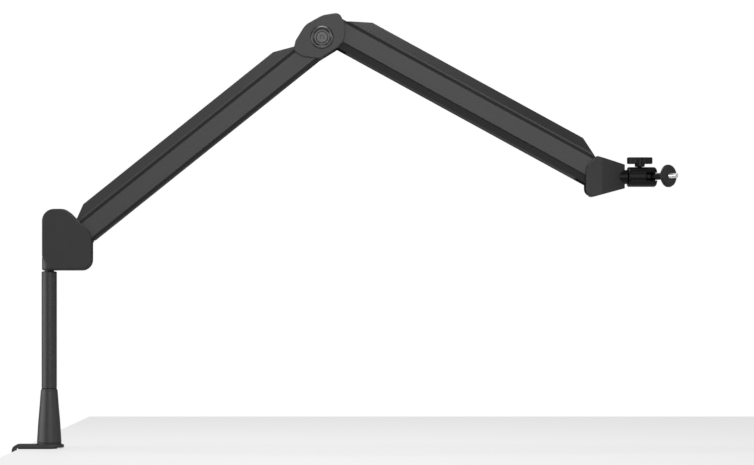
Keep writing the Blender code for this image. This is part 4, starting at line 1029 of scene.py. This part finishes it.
def dress_thumb_screw():
    neck = MOUNT_HEIGHT + BARREL_RADIUS + 0.5
    bar_low, bar_high = THUMB_BAR
    hub = turned([
        (0, MOUNT_HEIGHT + 9.1), (2.9, MOUNT_HEIGHT + 9.1, 0.3), (2.9, neck), (6.1, neck, 0.6),
        (6.1, bar_high - 0.4, 1.2), (0, bar_high - 0.4),
    ], (THUMB_X, 0, 0), steps=96)
    plan = [
        (15.6, 3.4, 2.6), (6, 4.3, 4), (-6, 4.3, 4), (-15.6, 3.4, 2.6),
        (-15.6, -3.4, 2.6), (-6, -4.3, 4), (6, -4.3, 4), (15.6, -3.4, 2.6),
    ]
    wings = prism(rounded([(THUMB_X + a, b, r) for a, b, r in plan], 6), bar_low, bar_high, "Z", 1.2, 1.2)
    grips = []
    for x in (-13, -11, -9, 9, 11, 13):
        for y in (-4.35, 4.35):
            low, high = (THUMB_X + x, y, bar_low + 1.2), (THUMB_X + x, y, bar_high - 1.2)
            grips.append(rod(0.55, low, high, 0, 12))
    plus(hub, wings)
    minus(hub, *grips)
    piece("thumb_grip", hub, GLOSS, "thumb_screw_body", ["thumb_screw"])


def dress_platform():
    stem_top = PLATFORM_START - GAP
    meet = math.asin(STEM_RADIUS / BALL_RADIUS)
    sweep = [meet + (math.pi - meet) * k / 24 for k in range(25)]
    ball = [(BALL_RADIUS * math.sin(t), BALL_RADIUS * math.cos(t)) for t in sweep[:-1]]
    stem = turned([(0, stem_top), (STEM_RADIUS, stem_top)] + ball + [(0, -BALL_RADIUS)], BALL, STEM_WAY)
    piece("ball_and_stem", stem, GLOSS, "ball", ["ball_stud"])

    start, end = PLATFORM_START, PLATFORM_END
    disc = turned([
        (STUD_HOLE, end, 0.2), (PLATFORM_RADIUS, end, 0.6), (PLATFORM_RADIUS, start + 2.6, 0.6),
        (11.2, start, 1.0), (STUD_HOLE, start, 0.2),
    ], BALL, STEM_WAY, 128)
    piece("platform_flange", disc, DISC_GLOSS, "platform", ["platform_disc"])
    dip = PAD_END - 0.4
    pad = turned([
        (STUD_HOLE, PAD_END, 0.2), (8, PAD_END, 0.2), (8.4, dip, 0.2), (8.8, dip, 0.2), (9.2, PAD_END, 0.2),
        (13.0, PAD_END, 0.5), (13.0, end + GAP, 0.1), (STUD_HOLE, end + GAP, 0.1),
    ], BALL, STEM_WAY, 128)
    piece("platform_grip_pad", pad, RUBBER, "platform", ["platform_pad"])
    stud = threaded(STUD_RADIUS, 0.5, STUD_PITCH, start + 0.5, STUD_END, BALL, STEM_WAY, 36, 10)
    piece("mounting_stud", stud, BRIGHT, "platform", ["thread_stud"])


# Inner pieces that keep their own shape

INNER_FINISHES = {
    "shoulder_core": CASTING, "elbow_core": CASTING, "head_core": CASTING,
    "lower_spring": SPRING_STEEL, "upper_spring": SPRING_STEEL,
    "socket_liner": PLASTIC, "riser_bush": PLASTIC, "ball_seat": PLASTIC,
    "elbow_stop_screw": RUBBER, "riser_spigot": BLACK_SCREW,
}


def finish_inner_pieces():
    """Gives each carried-over node its material; the steel ones are plated."""
    for name, node in frame["nodes"].items():
        finish = INNER_FINISHES.get(name, PLATED)
        node.data.materials.clear()
        node.data.materials.append(finish)
        node.data.shade_smooth()
        node.data.set_sharp_from_angle(angle=math.radians(35))


dress_clamp()
dress_clamp_screw()
dress_riser()
dress_shoulder()
dress_arms()
dress_elbow()
dress_head()
dress_barrel()
dress_thumb_screw()
dress_platform()
finish_inner_pieces()


# Desk, backdrop and light

def make_desk():
    finish = Finish("pale_desk_laminate", roughness=0.6)
    weave = finish.noise(900, 2)
    looked_at = finish.node("LightPath", {}, {}, "Is Camera Ray")
    laminate = finish.blend(weave.spread(0.3, 0.7), grey(0.80), grey(0.84))
    colour = finish.blend(looked_at, laminate, grey(DESK_SEEN_LEVEL))
    finish.wear(colour, 0.5 + 0.1 * weave, finish.bump(weave, 0.02, 0.2))
    lift = finish.blend(looked_at, grey(0.0), grey(DESK_LIFT))
    finish.feed(finish.shader.inputs["Emission Color"], lift)
    finish.shader.inputs["Emission Strength"].default_value = 1.0
    slant = DESK_EDGE_SLANT

    def edge_at(y):
        return DESK_EDGE_AT_ARM + slant * y

    outline = [
        (edge_at(DESK_FRONT), DESK_FRONT), (DESK_RIGHT, DESK_FRONT), (DESK_RIGHT, DESK_BACK),
        (edge_at(DESK_BACK), DESK_BACK),
    ]
    desk = softened(prism(outline, -DESK_THICKNESS, 0, "Z"), 1.0, 3)
    shop.objects.unlink(desk)
    bpy.context.scene.collection.objects.link(desk)
    desk.name = "desk_top"
    desk.data.transform(Matrix.Scale(MM, 4))
    desk.data.materials.append(finish.material)


def make_backdrop():
    world = bpy.data.worlds.new("white_studio")
    bpy.context.scene.world = world
    world.use_nodes = True
    tree = world.node_tree
    output = tree.nodes["World Output"]
    tree.nodes.remove(tree.nodes["Background"])
    lit = tree.nodes.new("ShaderNodeBackground")
    lit.inputs["Color"].default_value = grey(1.0)
    lit.inputs["Strength"].default_value = 0.3
    seen = tree.nodes.new("ShaderNodeBackground")
    seen.inputs["Color"].default_value = grey(1.0)
    seen.inputs["Strength"].default_value = 1.0
    path = tree.nodes.new("ShaderNodeLightPath")
    mix = tree.nodes.new("ShaderNodeMixShader")
    tree.links.new(path.outputs["Is Camera Ray"], mix.inputs[0])
    tree.links.new(lit.outputs[0], mix.inputs[1])
    tree.links.new(seen.outputs[0], mix.inputs[2])
    tree.links.new(mix.outputs[0], output.inputs["Surface"])


def softbox(name, place, aim, size, watts):
    data = bpy.data.lights.new(name, "AREA")
    data.shape = "RECTANGLE"
    data.size = size[0] * MM
    data.size_y = size[1] * MM
    data.energy = watts
    lamp = bpy.data.objects.new(name, data)
    bpy.context.scene.collection.objects.link(lamp)
    lamp.location = Vector(place) * MM
    lamp.visible_camera = False
    lamp.rotation_mode = "QUATERNION"
    lamp.rotation_quaternion = (Vector(place) - Vector(aim)).to_track_quat("Z", "Y")


def make_studio():
    make_desk()
    make_backdrop()
    softbox("overhead_softbox", (360, 20, 1000), (360, 0, 500), (420, 300), 6)
    softbox("front_fill", (560, -1700, 600), (400, 0, 300), (1500, 900), 17)
    softbox("left_softbox", (-1000, -250, 250), (0, 0, 180), (1300, 800), 12)
    softbox("right_softbox", (1950, -550, 420), (690, 0, 330), (900, 900), 4.5)
    softbox("high_left_softbox", (-400, -640, 1240), (337, -20, 507), (380, 380), 1.2)


make_studio()
bpy.data.collections.remove(shop)
bpy.context.scene.view_settings.view_transform = "Standard"
